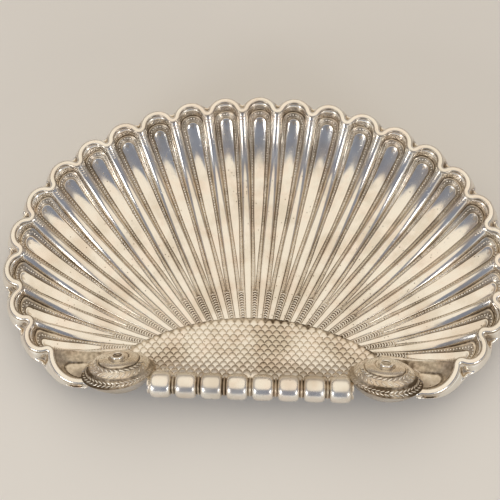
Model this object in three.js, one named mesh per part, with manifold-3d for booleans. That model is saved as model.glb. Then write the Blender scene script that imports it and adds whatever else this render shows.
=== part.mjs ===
// Silver shell dish: a raised and chased sheet fluted like a scallop, with an applied lobed rim,
// a gadrooned front border, two scrolled volutes with their buttons, and three ball feet.
// Millimetres, +Z up, +X to the right and +Y to the back. Shapes are drawn about the centre of the
// rim's ellipse, with the table at zero, and the finished group is moved so that its box is centred.
import * as THREE from 'three';
import { mergeVertices } from 'three/addons/utils/BufferGeometryUtils.js';
import Module from 'manifold-3d';

// Sheet and fits
const SHEET_THICKNESS = 1.2;
const SEAT_GAP = 0.3;

// Plan of the rim: an ellipse through the notches between the lobes
const RIM_HALF_WIDTH = 183;
const RIM_HALF_DEPTH = 124;
const FLUTE_COUNT = 25;
const END_LOBE_SPACING = 37;
const LOBE_BULGE = 9.5;
const END_LOBE_BULGE = 6.5;
const NOTCH_RADIUS = 3;

// Heights of the sheet: floor, rim at the back, and the front edge under the gadroons
const FLOOR_HEIGHT = 19;
const RIM_RISE = 50;
const RIM_FALL_PER_MM = 0.2;
const FRONT_RISE = 16.5;
const FRONT_CLIMB_POWER = 2.2;

// The wall's rise towards the rim: a gentle square term and a steep fifth power that add up to one
const GENTLE_RISE = 0.3;
const STEEP_RISE = 1 - GENTLE_RISE;

// Front edge, which cuts the ellipse short, and the hub behind it: the arc where the flutes start
const FRONT_CUT = 37;
const FRONT_EDGE_Y = FRONT_CUT - RIM_HALF_DEPTH;
const FRONT_HALF_WIDTH = 75;
const HUB_RADIUS = 178;
const HUB_DEPTH = 55.7;
const HUB_TOP_Y = FRONT_EDGE_Y + HUB_DEPTH;
const HUB_FLUTE_SPACING = 8.5;

// Flute section: shares of half a flute's width, and the ridge's height as a share of it
const PANEL_SHARE = 0.42;
const RIDGE_FOOT_SHARE = 0.72;
const RIDGE_FOOT_RISE = 0.3;
const RIDGE_HEIGHT_SHARE = 0.23;
const ARCH_SETBACK = 4.3;

// Rim border: a bead along the crest and a lip that turns out and down
const BEAD_WIDTH = 2.8;
const BEAD_HEIGHT = 1.5;
const BEAD_CROWN_SHARE = 0.45;
const LIP_REACH = 5;
const LIP_NOTCH_REACH = 10.5;
const LIP_DROP = 8.2;
const LIP_END_REACH = 3.5;
const LIP_END_DROP = 4;
const LIP_END_SHARE = 0.6;
const LIP_THICKNESS = 1.3;
const LIP_UNDER_BEAD_SHARE = 0.5;
const LIP_SWELL = 1;
const LIP_LOBE_POWER = 2.5;
const POCKET_DEPTH = 2.4;

// Gadroon border that hooks over the front edge
const GADROON_COUNT = 8;
const GADROON_RADIUS = 9.7;
const GADROON_VALLEY_DEPTH = 2.5;
const GADROON_LOBE_POWER = 4;
const GADROON_WALL = 1.8;
const GADROON_OVERHANG = 5;
const GADROON_BELOW_EDGE = 2.5;
const GADROON_START_DEG = -25;
const GADROON_END_DEG = 235;

// Volutes: spiral domes that lean back on the rising front corners, between the gadroons and the
// ends of the rim
const VOLUTE_BESIDE_FRONT = 22;
const VOLUTE_BEHIND_EDGE = 5;
const VOLUTE_BELOW_EDGE = 2.2;
const VOLUTE_X = FRONT_HALF_WIDTH + VOLUTE_BESIDE_FRONT;
const VOLUTE_Y = FRONT_EDGE_Y + VOLUTE_BEHIND_EDGE;
const VOLUTE_BASE_HEIGHT = FLOOR_HEIGHT + FRONT_RISE - VOLUTE_BELOW_EDGE;
const RIM_END_BESIDE_VOLUTE = 26;
const RIM_END_X = VOLUTE_X + RIM_END_BESIDE_VOLUTE;
const VOLUTE_RADIUS = 28;
const VOLUTE_ASPECT = 0.86;
const VOLUTE_RISE = 13;
const VOLUTE_ROUNDING = 2.6;
const VOLUTE_LEAN_DEG = 36;
const VOLUTE_FIRST_GROOVE = 31.4;
const VOLUTE_TURN_PITCH = 8.4;
const VOLUTE_BACK_FALL = 0.88;
const VOLUTE_GROOVE_DEPTH = 1.6;
const VOLUTE_WALL = 1.8;
const VOLUTE_SKIRT_BOTTOM = 25;
const VOLUTE_SKIRT_TAPER = 0.6;

// Buttons on the volutes
const BUTTON_RADIUS = 5.2;
const BUTTON_HEIGHT = 2.6;
const BUTTON_DIMPLE_RADIUS = 2.6;
const BUTTON_DIMPLE_DEPTH = 1.4;
const BUTTON_CHAMFER = 1;

// Feet: a ball with a flat under it and a neck, under a round plate fitted to the sheet
const FOOT_BALL_RADIUS = 7.6;
const FOOT_FLAT_RADIUS = 3;
const FOOT_NECK_RADIUS = 4.6;
const FOOT_PLATE_RADIUS = 12.5;
const FOOT_PLATE_THICKNESS = 1.4;
const FRONT_FOOT_INSIDE_VOLUTE = 15;
const FRONT_FOOT_BEHIND_EDGE = 35;
const FRONT_FOOT_X = VOLUTE_X - FRONT_FOOT_INSIDE_VOLUTE;
const FRONT_FOOT_Y = FRONT_EDGE_Y + FRONT_FOOT_BEHIND_EDGE;
const BACK_FOOT_Y = 40;

// Steps of the faceted shapes. The columns of a flute run from ridge to ridge as shares of half its
// width, and the rows near the rim are distances from the sheet's edge.
const COLUMN_SHARES = [-1, -RIDGE_FOOT_SHARE, -PANEL_SHARE, 0, PANEL_SHARE, RIDGE_FOOT_SHARE];
const RIM_ROWS = [0, 4.5, 10, 20, 36];
const INNER_ROWS = [0, 0.26, 0.52, 0.77];
const ROUND_STEPS = 32;
const GADROON_STEPS = 6;
const GADROON_SECTION_STEPS = 8;
const VOLUTE_STEPS = 18;
const HOLLOW_SHARES = [1, 0.72, 0.4];
const ELLIPSE_STEPS = 720;

const MIDDLE = FLUTE_COUNT / 2;
const UP = new THREE.Vector3(0, 0, 1);
const TABLE = 0;
const RIM_CLEARANCE = 1.5 * SEAT_GAP;
const MITRE_LIMIT = 0.5;
const ABOVE_ALL = 2 * (FLOOR_HEIGHT + RIM_RISE);

const wasm = await Module();
wasm.setup();

const lerp = THREE.MathUtils.lerp;
const clamp01 = (value) => THREE.MathUtils.clamp(value, 0, 1);
const radians = THREE.MathUtils.degToRad;

// A surface of triangles that share their vertices, facing up.
class Surface {
  constructor() {
    this.points = [];
    this.triangles = [];
    this.found = new Map();
  }

  vertex(point) {
    const key = [point.x, point.y, point.z].map((value) => Math.round(value * 1e4)).join();
    if (!this.found.has(key)) {
      this.found.set(key, this.points.length);
      this.points.push(point.clone());
    }
    return this.found.get(key);
  }

  triangle(a, b, c) {
    if (a !== b && b !== c && c !== a) this.triangles.push([a, b, c]);
  }

  // Four corners in turn, split along the diagonal from the first, or else from the second.
  quad(a, b, c, d, fromSecond) {
    this.triangle(a, b, fromSecond ? d : c);
    this.triangle(fromSecond ? b : a, c, d);
  }

  normals() {
    const normals = this.points.map(() => new THREE.Vector3());
    for (const [a, b, c] of this.triangles) {
      const face = new THREE.Vector3()
        .subVectors(this.points[b], this.points[a])
        .cross(new THREE.Vector3().subVectors(this.points[c], this.points[a]));
      for (const corner of [a, b, c]) normals[corner].add(face);
    }
    return normals.map((normal) => normal.normalize());
  }

  // Edges that only one triangle uses, in that triangle's direction.
  borderEdges() {
    const edges = new Map();
    for (const corners of this.triangles) {
      corners.forEach((from, i) => {
        const to = corners[(i + 1) % 3];
        if (!edges.delete(`${to},${from}`)) edges.set(`${from},${to}`, [from, to]);
      });
    }
    return [...edges.values()];
  }

  // The plan shift at each border vertex that moves both of its edges out by one unit.
  borderDirections() {
    const directions = this.points.map(() => new THREE.Vector3());
    for (const [from, to] of this.borderEdges()) {
      const along = new THREE.Vector3().subVectors(this.points[to], this.points[from]);
      const away = new THREE.Vector3(along.y, -along.x, 0).normalize();
      directions[from].add(away);
      directions[to].add(away);
    }
    return directions.map((sum) => sum.multiplyScalar(2 / Math.max(sum.lengthSq(), MITRE_LIMIT)));
  }

  // The closed solid between two copies of the surface.
  solidBetween(upper, lower) {
    const count = this.points.length;
    const triangles = [];
    for (const [a, b, c] of this.triangles) {
      triangles.push([a, b, c], [a + count, c + count, b + count]);
    }
    for (const [a, b] of this.borderEdges()) {
      triangles.push([a, a + count, b + count], [a, b + count, b]);
    }
    return solid([...upper, ...lower], triangles);
  }
}

function solid(points, triangles) {
  return new wasm.Manifold(
    new wasm.Mesh({
      numProp: 3,
      vertProperties: new Float32Array(points.flatMap((point) => point.toArray())),
      triVerts: new Uint32Array(triangles.flat()),
    }),
  );
}

function solidOfGeometry(geometry) {
  const plain = geometry.clone();
  for (const name of ['normal', 'uv']) plain.deleteAttribute(name);
  const merged = mergeVertices(plain, 1e-4);
  return new wasm.Manifold(
    new wasm.Mesh({
      numProp: 3,
      vertProperties: merged.attributes.position.array,
      triVerts: new Uint32Array(merged.index.array),
    }),
  );
}

function geometryOf(body) {
  const mesh = body.getMesh();
  const geometry = new THREE.BufferGeometry();
  geometry.setAttribute('position', new THREE.BufferAttribute(mesh.vertProperties, 3));
  geometry.setIndex(new THREE.BufferAttribute(mesh.triVerts, 1));
  geometry.computeVertexNormals();
  return geometry;
}

// The largest of the bodies that a cut leaves.
function largest(body) {
  return body.decompose().reduce((best, next) => (next.volume() > best.volume() ? next : best));
}

// The direction that a ring of points turns about, by the right-hand rule.
function ringAxis(ring) {
  const axis = new THREE.Vector3();
  ring.forEach((point, i) => axis.add(new THREE.Vector3().crossVectors(point, ring[(i + 1) % ring.length])));
  return axis.normalize();
}

function ringCentre(ring) {
  return ring.reduce((sum, point) => sum.add(point), new THREE.Vector3()).divideScalar(ring.length);
}

// Triangles that fill a nearly flat ring, turning as the ring turns.
function fillRing(ring) {
  const axis = ringAxis(ring);
  const spare = Math.abs(axis.z) < 0.9 ? UP : new THREE.Vector3(1, 0, 0);
  const across = new THREE.Vector3().crossVectors(spare, axis).normalize();
  const along = new THREE.Vector3().crossVectors(axis, across);
  const flat = ring.map((point) => new THREE.Vector2(point.dot(across), point.dot(along)));
  return THREE.ShapeUtils.triangulateShape(flat, []).map(([a, b, c]) => {
    const turn = new THREE.Vector2().subVectors(flat[b], flat[a]).cross(flat[c].clone().sub(flat[a]));
    return turn > 0 ? [a, b, c] : [a, c, b];
  });
}

// The closed solid through rings of as many points each, with flat ends.
function loft(rings) {
  const ahead = new THREE.Vector3().subVectors(ringCentre(rings[1]), ringCentre(rings[0]));
  const turned = ringAxis(rings[0]).dot(ahead) < 0 ? rings.map((ring) => [...ring].reverse()) : rings;
  const size = turned[0].length;
  const last = (turned.length - 1) * size;
  const triangles = fillRing(turned[0]).map(([a, b, c]) => [a, c, b]);
  for (let start = 0; start < last; start += size) {
    for (let i = 0; i < size; i++) {
      const a = start + i;
      const b = start + ((i + 1) % size);
      triangles.push([a, b, b + size], [a, b + size, a + size]);
    }
  }
  triangles.push(...fillRing(turned.at(-1)).map((corners) => corners.map((corner) => last + corner)));
  return solid(turned.flat(), triangles);
}

// Plan of the rim. The ellipse is measured along its arc from the middle of the back, right is
// positive, and each point comes with its unit tangent and its outward normal.
const arcTable = [0];
for (let i = 1; i <= ELLIPSE_STEPS; i++) {
  const angle = (Math.PI * (i - 0.5)) / ELLIPSE_STEPS;
  const speed = Math.hypot(RIM_HALF_WIDTH * Math.cos(angle), RIM_HALF_DEPTH * Math.sin(angle));
  arcTable.push(arcTable[i - 1] + (speed * Math.PI) / ELLIPSE_STEPS);
}

// The lobes share out the rim evenly, apart from the end ones, down to where it meets the volutes.
const rimEndAngle = Math.PI - Math.asin(RIM_END_X / RIM_HALF_WIDTH);
const rimEndArc = arcTable[Math.round((rimEndAngle * ELLIPSE_STEPS) / Math.PI)];
const lobeSpacing = (rimEndArc - END_LOBE_SPACING) / (MIDDLE - 1);

function ellipseAt(arc) {
  const side = Math.sign(arc) || 1;
  const length = Math.abs(arc);
  let i = 1;
  while (i < ELLIPSE_STEPS && arcTable[i] < length) i++;
  const share = (length - arcTable[i - 1]) / (arcTable[i] - arcTable[i - 1]);
  const angle = (Math.PI * (i - 1 + share)) / ELLIPSE_STEPS;
  const point = new THREE.Vector3(
    side * RIM_HALF_WIDTH * Math.sin(angle),
    RIM_HALF_DEPTH * Math.cos(angle),
    0,
  );
  const tangent = new THREE.Vector3(
    RIM_HALF_WIDTH * Math.cos(angle),
    -side * RIM_HALF_DEPTH * Math.sin(angle),
    0,
  ).normalize();
  const normal = new THREE.Vector3(-tangent.y, tangent.x, 0);
  return { point, tangent, normal };
}

// Arc length at a place counted in flutes, from 0 at the left end to FLUTE_COUNT at the right end.
function rimArc(place) {
  const inner = THREE.MathUtils.clamp(place, 1, FLUTE_COUNT - 1);
  return (inner - MIDDLE) * lobeSpacing + (place - inner) * END_LOBE_SPACING;
}

// One lobe of the crest in its own chord's frame: an arc between two small notch arcs that it
// touches. The share runs from -1 at one notch to 1 at the next.
function lobeAt(share, halfChord, bulge) {
  const radii = (halfChord ** 2 + bulge ** 2) / (2 * bulge);
  const lobeRadius = radii - NOTCH_RADIUS;
  const centreY = bulge - lobeRadius;
  const x = share * halfChord;
  if (Math.abs(x) <= (lobeRadius * halfChord) / radii) {
    const rise = Math.sqrt(lobeRadius ** 2 - x ** 2);
    return { x, y: centreY + rise, normal: [x / lobeRadius, rise / lobeRadius] };
  }
  const left = Math.sign(x) * (halfChord - Math.abs(x));
  const fall = Math.sqrt(NOTCH_RADIUS ** 2 - left ** 2);
  return { x, y: NOTCH_RADIUS - fall, normal: [left / NOTCH_RADIUS, fall / NOTCH_RADIUS] };
}

function rimHeight(y) {
  return FLOOR_HEIGHT + RIM_RISE - RIM_FALL_PER_MM * (RIM_HALF_DEPTH - y);
}

// Everything that the sheet and the border share at one place along the rim.
function rimStation(place) {
  const flute = Math.min(Math.floor(place), FLUTE_COUNT - 1);
  const share = 2 * (place - flute) - 1;
  const start = rimArc(flute);
  const halfChord = (rimArc(flute + 1) - start) / 2;
  const bulge = flute === 0 || flute === FLUTE_COUNT - 1 ? END_LOBE_BULGE : LOBE_BULGE;
  const lobe = lobeAt(share, halfChord, bulge);
  const base = ellipseAt(start + halfChord + lobe.x);
  const outward = base.tangent
    .clone()
    .multiplyScalar(lobe.normal[0])
    .addScaledVector(base.normal, lobe.normal[1]);
  const edge = base.point
    .clone()
    .addScaledVector(base.normal, lobe.y)
    .addScaledVector(outward, -BEAD_WIDTH);
  return { share, halfChord, bulge, base, outward, edge, beyond: lobe.y - BEAD_WIDTH * lobe.normal[1] };
}

// Hub: the arc of the flutes' inner ends. The end flutes start on the line that leads from its
// ends down to the corners of the front edge, which the volutes cover.
function frontPoint(place) {
  const x = ((place - MIDDLE) / (MIDDLE - 1)) * FRONT_HALF_WIDTH;
  return new THREE.Vector3(x, FRONT_EDGE_Y, FLOOR_HEIGHT + FRONT_RISE);
}

function hubArcPoint(place) {
  const x = (place - MIDDLE) * HUB_FLUTE_SPACING;
  return new THREE.Vector3(x, HUB_TOP_Y - HUB_RADIUS + Math.sqrt(HUB_RADIUS ** 2 - x ** 2), FLOOR_HEIGHT);
}

// The field between the hub arc and the front edge climbs to the edge, slowly at first.
function fieldPoint(place, share) {
  const point = hubArcPoint(place).lerp(frontPoint(place), share);
  point.z = FLOOR_HEIGHT + FRONT_RISE * share ** FRONT_CLIMB_POWER;
  return point;
}

function fluteStart(place) {
  const inner = THREE.MathUtils.clamp(place, 1, FLUTE_COUNT - 1);
  return fieldPoint(inner, Math.abs(place - inner));
}

// The wall climbs slowly from the floor and steeply near the rim.
function wallRise(share) {
  return GENTLE_RISE * share ** 2 + STEEP_RISE * share ** 5;
}

function ridgeProfile(share) {
  if (share <= PANEL_SHARE) return 0;
  if (share <= RIDGE_FOOT_SHARE) {
    return (RIDGE_FOOT_RISE * (share - PANEL_SHARE)) / (RIDGE_FOOT_SHARE - PANEL_SHARE);
  }
  const climb = clamp01((share - RIDGE_FOOT_SHARE) / (1 - RIDGE_FOOT_SHARE));
  return lerp(RIDGE_FOOT_RISE, 1, Math.sin((Math.PI / 2) * climb));
}

// A point of the sheet's upper face at a place along the rim and a distance in from its edge. The
// end flutes have no ridge along the front.
function sheetPoint(place, start, station, fromEdge) {
  const length = start.distanceTo(station.edge.clone().setZ(start.z));
  const share = clamp01(1 - fromEdge / length);
  const point = start.clone().lerp(station.edge, share);
  const ends = Math.min(1, place, FLUTE_COUNT - place);
  const rimHalfWidth = Math.min(station.halfChord, lobeSpacing / 2);
  const halfWidth = lerp((HUB_FLUTE_SPACING / 2) * ends, rimHalfWidth, share);
  const pastArch = Math.max(0, station.beyond - fromEdge + ARCH_SETBACK);
  const across = Math.abs(station.share) * station.halfChord;
  const fromAxis = pastArch > 0 ? Math.hypot(across, pastArch) / station.halfChord : Math.abs(station.share);
  const openSide = place < 0.5 || place > FLUTE_COUNT - 0.5;
  const inside = openSide ? 0 : ridgeProfile(fromAxis);
  const ridge = fromEdge > 0 ? inside : 1;
  point.z = lerp(start.z, rimHeight(station.edge.y), wallRise(share));
  point.z += RIDGE_HEIGHT_SHARE * halfWidth * ridge;
  return point;
}

const places = [];
for (let flute = 0; flute < FLUTE_COUNT; flute++) {
  for (const share of COLUMN_SHARES) places.push(flute + (share + 1) / 2);
}
places.push(FLUTE_COUNT);

// The sheet's upper face: columns of the fan from the rim down to the hub, then the field.
function sheetSurface() {
  const surface = new Surface();
  const columns = places.map((place) => {
    const station = rimStation(place);
    const start = fluteStart(place);
    const length = start.distanceTo(station.edge.clone().setZ(start.z));
    const inner = length - RIM_ROWS.at(-1);
    const innerRows = INNER_ROWS.slice(1).map((share) => RIM_ROWS.at(-1) + share * inner);
    const rows = [...RIM_ROWS, ...innerRows, length];
    return rows.map((fromEdge) => surface.vertex(sheetPoint(place, start, station, fromEdge)));
  });
  const fill = (here, next, onRight) => {
    for (let row = 0; row + 1 < here.length; row++) {
      surface.quad(here[row], here[row + 1], next[row + 1], next[row], onRight);
    }
  };
  for (let i = 0; i + 1 < columns.length; i++) fill(columns[i], columns[i + 1], places[i] >= MIDDLE);
  const perFlute = COLUMN_SHARES.length;
  const first = perFlute;
  const last = places.length - 1 - perFlute;
  const hubRow = (i) => columns[i].at(-1);
  const field = [];
  for (let i = first; i <= last; i++) {
    const coarse = Math.round((i * 2) / perFlute) * (perFlute / 2);
    const rows = [hubRow(i)];
    for (let row = 1; row <= perFlute; row++) {
      if (i === first) rows.push(hubRow(first - row));
      else if (i === last) rows.push(hubRow(last + row));
      else rows.push(surface.vertex(fieldPoint(places[coarse], fieldShare(row))));
    }
    field.push(rows);
  }
  for (let i = 0; i + 1 < field.length; i++) fill(field[i], field[i + 1], places[first + i] >= MIDDLE);
  return surface;
}

// The field's rows match the columns of the end flutes, which they meet at the volutes.
function fieldShare(row) {
  return places[places.length - 1 - COLUMN_SHARES.length + row] - (FLUTE_COUNT - 1);
}

const sheet = sheetSurface();
const sheetNormals = sheet.normals();
const sheetUnder = offsetSheet(-SHEET_THICKNESS);

function offsetSheet(distance) {
  return sheet.points.map((point, i) => point.clone().addScaledVector(sheetNormals[i], distance));
}

// The sheet grown by the seat gap on every side, for cutting what meets it, and with it the block
// from there down to the table, for cutting what rests on it.
function grownFace(distance) {
  const directions = sheet.borderDirections();
  return offsetSheet(distance).map((point, i) => point.addScaledVector(directions[i], SEAT_GAP));
}

function grownSheet() {
  return sheet.solidBetween(grownFace(SEAT_GAP), grownFace(-SHEET_THICKNESS - SEAT_GAP));
}

function belowSheet() {
  const top = grownFace(SEAT_GAP);
  return [sheet.solidBetween(top, top.map((point) => point.clone().setZ(TABLE))), grownSheet()];
}

function cutAway(body, tools) {
  return largest(tools.reduce((rest, tool) => rest.subtract(tool), body));
}

// Everything within the seat gap of the sheet's underside and above it, for what carries it.
function aboveUnderside() {
  const bottom = offsetSheet(-SHEET_THICKNESS - SEAT_GAP);
  return sheet.solidBetween(bottom.map((point) => point.clone().setZ(ABOVE_ALL)), bottom);
}

// Rim border: at each place a section that starts against the sheet's edge, climbs over the bead,
// turns out and down to the lip's lower edge, and comes back under it. The lip narrows to its ends.
function rimSection(place) {
  const station = rimStation(place);
  const top = sheetPoint(place, fluteStart(place), station, 0);
  const index = sheet.vertex(top);
  const under = sheetUnder[index];
  const down = new THREE.Vector3().subVectors(under, top).normalize();
  const along = new THREE.Vector3().crossVectors(station.outward, UP);
  const facing = new THREE.Vector3().crossVectors(down, along).normalize();
  if (facing.dot(station.outward) < 0) facing.negate();
  const gap = facing.multiplyScalar(SEAT_GAP);
  const offset = (out, up) => top.clone().addScaledVector(station.outward, out).addScaledVector(UP, up);
  const lobed = 1 - Math.abs(station.share) ** LIP_LOBE_POWER;
  const fromEnd = clamp01(Math.min(place, FLUTE_COUNT - place) / LIP_END_SHARE);
  const opened = Math.sin((Math.PI / 2) * fromEnd);
  const reach = lerp(LIP_END_REACH, lerp(LIP_NOTCH_REACH, station.bulge + LIP_REACH, lobed), opened);
  const lipEdge = station.base.point.clone().addScaledVector(station.base.normal, reach);
  lipEdge.z = top.z - lerp(LIP_END_DROP, LIP_DROP, opened);
  const shoulder = offset(BEAD_WIDTH, BEAD_HEIGHT / 2);
  const middle = shoulder.clone().lerp(lipEdge, 0.5);
  middle.z += opened * lerp(-POCKET_DEPTH, LIP_SWELL, lobed);
  const inward = station.base.normal.clone().multiplyScalar(-LIP_THICKNESS);
  const half = -LIP_THICKNESS / 2;
  const underBead = BEAD_WIDTH * LIP_UNDER_BEAD_SHARE;
  return [
    under.clone().add(gap),
    top.clone().add(gap),
    offset(BEAD_WIDTH * BEAD_CROWN_SHARE, BEAD_HEIGHT),
    shoulder,
    middle,
    lipEdge,
    lipEdge.clone().addScaledVector(inward, 0.5).addScaledVector(UP, half),
    middle.clone().add(inward).addScaledVector(UP, half),
    under.clone().addScaledVector(station.outward, underBead).addScaledVector(UP, half),
  ];
}

const rimSections = places.map(rimSection);

// The gadroons' section at a place along the front, from its left end at 0 to its right end at 1.
function gadroonRadius(share) {
  const lobe = 2 * ((share * GADROON_COUNT) % 1) - 1;
  return GADROON_RADIUS - GADROON_VALLEY_DEPTH * lobe ** GADROON_LOBE_POWER;
}

function gadroonPoint(share, radius, angle) {
  return new THREE.Vector3(
    lerp(-FRONT_HALF_WIDTH, FRONT_HALF_WIDTH, share),
    FRONT_EDGE_Y - GADROON_OVERHANG + radius * Math.cos(angle),
    FLOOR_HEIGHT + FRONT_RISE - GADROON_BELOW_EDGE + radius * Math.sin(angle),
  );
}

function gadroonArc(share, radius, steps) {
  return Array.from({ length: steps + 1 }, (_, i) =>
    gadroonPoint(share, radius, radians(lerp(GADROON_START_DEG, GADROON_END_DEG, i / steps))),
  );
}

const gadroonShares = Array.from(
  { length: GADROON_COUNT * GADROON_STEPS + 1 },
  (_, i) => i / (GADROON_COUNT * GADROON_STEPS),
);

function gadroonBorder() {
  const rings = gadroonShares.map((share) => {
    const radius = gadroonRadius(share);
    const outside = gadroonArc(share, radius, GADROON_SECTION_STEPS);
    const inside = gadroonArc(share, radius - GADROON_WALL, GADROON_SECTION_STEPS);
    return [...outside, ...inside.reverse()];
  });
  return cutAway(loft(rings), belowSheet());
}

// What the volutes keep clear of at the front: the gadroons grown by the gap, and filled down.
function gadroonClearance() {
  const ends = [-SEAT_GAP, 2 * FRONT_HALF_WIDTH + SEAT_GAP].map((x) => x / (2 * FRONT_HALF_WIDTH));
  const rings = ends.map((share) => {
    const arc = gadroonArc(share, GADROON_RADIUS + SEAT_GAP, GADROON_SECTION_STEPS);
    return [...arc, arc.at(-1).clone().setZ(TABLE), arc[0].clone().setZ(TABLE)];
  });
  return loft(rings);
}

// A ring with each of its edges moved out in the ring's plane.
function grownRing(ring, distance) {
  const axis = ringAxis(ring);
  const out = (from, to) => new THREE.Vector3().subVectors(to, from).cross(axis).normalize();
  return ring.map((point, i) => {
    const before = out(ring.at(i - 1), point);
    const after = out(point, ring[(i + 1) % ring.length]);
    const mitre = distance / Math.max(1 + before.dot(after), MITRE_LIMIT);
    return point.clone().addScaledVector(before.add(after), mitre);
  });
}

// The rim border grown all round and past both ends, for cutting the volutes.
function rimClearance() {
  const rings = rimSections.map((ring) => grownRing(ring, RIM_CLEARANCE));
  const beyond = (ring, next) => {
    const shift = new THREE.Vector3().subVectors(ringCentre(ring), ringCentre(next)).setLength(2 * SEAT_GAP);
    return ring.map((point) => point.clone().add(shift));
  };
  return loft([beyond(rings[0], rings[1]), ...rings, beyond(rings.at(-1), rings.at(-2))]);
}

// Volutes. The dome's own frame leans back. Its spiral starts at the dome's outer side, runs over
// the back to the side by the gadroons, and winds in to the button.
function voluteFrame(side) {
  return new THREE.Matrix4()
    .makeTranslation(side * VOLUTE_X, VOLUTE_Y, VOLUTE_BASE_HEIGHT)
    .multiply(new THREE.Matrix4().makeRotationX(-radians(VOLUTE_LEAN_DEG)));
}

function domeRise(radius) {
  return VOLUTE_RISE * (1 - clamp01(radius / VOLUTE_RADIUS) ** VOLUTE_ROUNDING);
}

function domePoint(side, angle, radius, lift) {
  const flat = radius * VOLUTE_ASPECT;
  return new THREE.Vector3(side * radius * Math.cos(angle), flat * Math.sin(angle), domeRise(radius) + lift);
}

// How much of a turn's pitch the spiral has closed in: most of it over the back.
function wind(turn) {
  const overBack = clamp01(2 * turn);
  const overFront = clamp01(2 * turn - 1);
  return VOLUTE_BACK_FALL * overBack + (1 - VOLUTE_BACK_FALL) * overFront;
}

// The dome along one angle, from its rim to the button: groove, crown, groove, crown and so on. A
// crown swells as its band widens, so that the bands start and end in points.
function domeColumn(side, turn) {
  const bands = Math.ceil((VOLUTE_FIRST_GROOVE - BUTTON_RADIUS) / VOLUTE_TURN_PITCH) + 1;
  const groove = (band) => {
    const radius = VOLUTE_FIRST_GROOVE - VOLUTE_TURN_PITCH * (band - 1 + wind(turn));
    return THREE.MathUtils.clamp(radius, BUTTON_RADIUS, VOLUTE_RADIUS);
  };
  const angle = 2 * Math.PI * turn;
  const column = [];
  for (let band = 0; band < bands; band++) {
    const outer = groove(band);
    const inner = groove(band + 1);
    const width = (outer - inner) / VOLUTE_TURN_PITCH;
    column.push(domePoint(side, angle, outer, -VOLUTE_GROOVE_DEPTH));
    column.push(domePoint(side, angle, (outer + inner) / 2, VOLUTE_GROOVE_DEPTH * (width - 1)));
  }
  column.push(domePoint(side, angle, BUTTON_RADIUS, -VOLUTE_GROOVE_DEPTH));
  return column;
}

function domeSurface(side) {
  const surface = new Surface();
  const frame = voluteFrame(side);
  const place = (point) => surface.vertex(point.applyMatrix4(frame));
  const columns = [];
  for (let step = 0; step <= VOLUTE_STEPS; step++) {
    columns.push(domeColumn(side, step / VOLUTE_STEPS).map(place));
  }
  const seat = place(new THREE.Vector3(0, 0, domeRise(BUTTON_RADIUS) - VOLUTE_GROOVE_DEPTH));
  const face = (a, b, c) => (side > 0 ? surface.triangle(a, b, c) : surface.triangle(a, c, b));
  for (let i = 0; i < VOLUTE_STEPS; i++) {
    const here = columns[i];
    const next = columns[i + 1];
    for (let row = 0; row + 1 < here.length; row++) {
      face(here[row], next[row], next[row + 1]);
      face(here[row], next[row + 1], here[row + 1]);
    }
    face(here.at(-1), next.at(-1), seat);
  }
  return surface;
}

// What lies under a volute's surface, tapering in towards the table.
function downToTable(surface, side) {
  const middle = new THREE.Vector3(side * VOLUTE_X, VOLUTE_Y, TABLE);
  const lower = surface.points.map((point) => middle.clone().lerp(point, VOLUTE_SKIRT_TAPER).setZ(TABLE));
  return surface.solidBetween(surface.points, lower);
}

// The hollow under the dome: a plain smaller dome that is open below.
function domeHollow(side) {
  const surface = new Surface();
  const frame = voluteFrame(side);
  const drop = -VOLUTE_GROOVE_DEPTH - VOLUTE_WALL;
  const radii = HOLLOW_SHARES.map((share) => share * (VOLUTE_RADIUS - 2 * VOLUTE_WALL));
  const ring = (radius) =>
    Array.from({ length: VOLUTE_STEPS }, (_, i) =>
      surface.vertex(domePoint(side, (2 * Math.PI * i) / VOLUTE_STEPS, radius, drop).applyMatrix4(frame)),
    );
  const rings = radii.map(ring);
  const top = surface.vertex(new THREE.Vector3(0, 0, VOLUTE_RISE + drop).applyMatrix4(frame));
  const face = (a, b, c) => (side > 0 ? surface.triangle(a, b, c) : surface.triangle(a, c, b));
  for (let i = 0; i < VOLUTE_STEPS; i++) {
    const next = (i + 1) % VOLUTE_STEPS;
    for (let row = 0; row + 1 < rings.length; row++) {
      face(rings[row][i], rings[row][next], rings[row + 1][next]);
      face(rings[row][i], rings[row + 1][next], rings[row + 1][i]);
    }
    face(rings.at(-1)[i], rings.at(-1)[next], top);
  }
  return downToTable(surface, side);
}

// In front of the sheet, and under its front edge, the dome's skirt ends above the table, level with
// the gadroons.
function frontBelowSkirt() {
  const box = new THREE.BoxGeometry(2 * RIM_HALF_WIDTH, RIM_HALF_DEPTH, VOLUTE_SKIRT_BOTTOM - TABLE);
  const back = FRONT_EDGE_Y + GADROON_OVERHANG;
  box.translate(0, back - RIM_HALF_DEPTH / 2, (VOLUTE_SKIRT_BOTTOM + TABLE) / 2);
  return solidOfGeometry(box);
}

function volute(side) {
  const dome = downToTable(domeSurface(side), side);
  const neighbours = [...belowSheet(), gadroonClearance(), rimClearance()];
  return cutAway(dome, [...neighbours, domeHollow(side), frontBelowSkirt()]);
}

function buttonGeometry() {
  const outline = [
    [0, 0],
    [BUTTON_RADIUS, 0],
    [BUTTON_RADIUS, BUTTON_HEIGHT - BUTTON_CHAMFER],
    [BUTTON_RADIUS - BUTTON_CHAMFER, BUTTON_HEIGHT],
    [BUTTON_DIMPLE_RADIUS, BUTTON_HEIGHT],
    [BUTTON_DIMPLE_RADIUS - BUTTON_CHAMFER, BUTTON_HEIGHT - BUTTON_DIMPLE_DEPTH],
    [0, BUTTON_HEIGHT - BUTTON_DIMPLE_DEPTH],
  ];
  return turned(outline);
}

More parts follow.
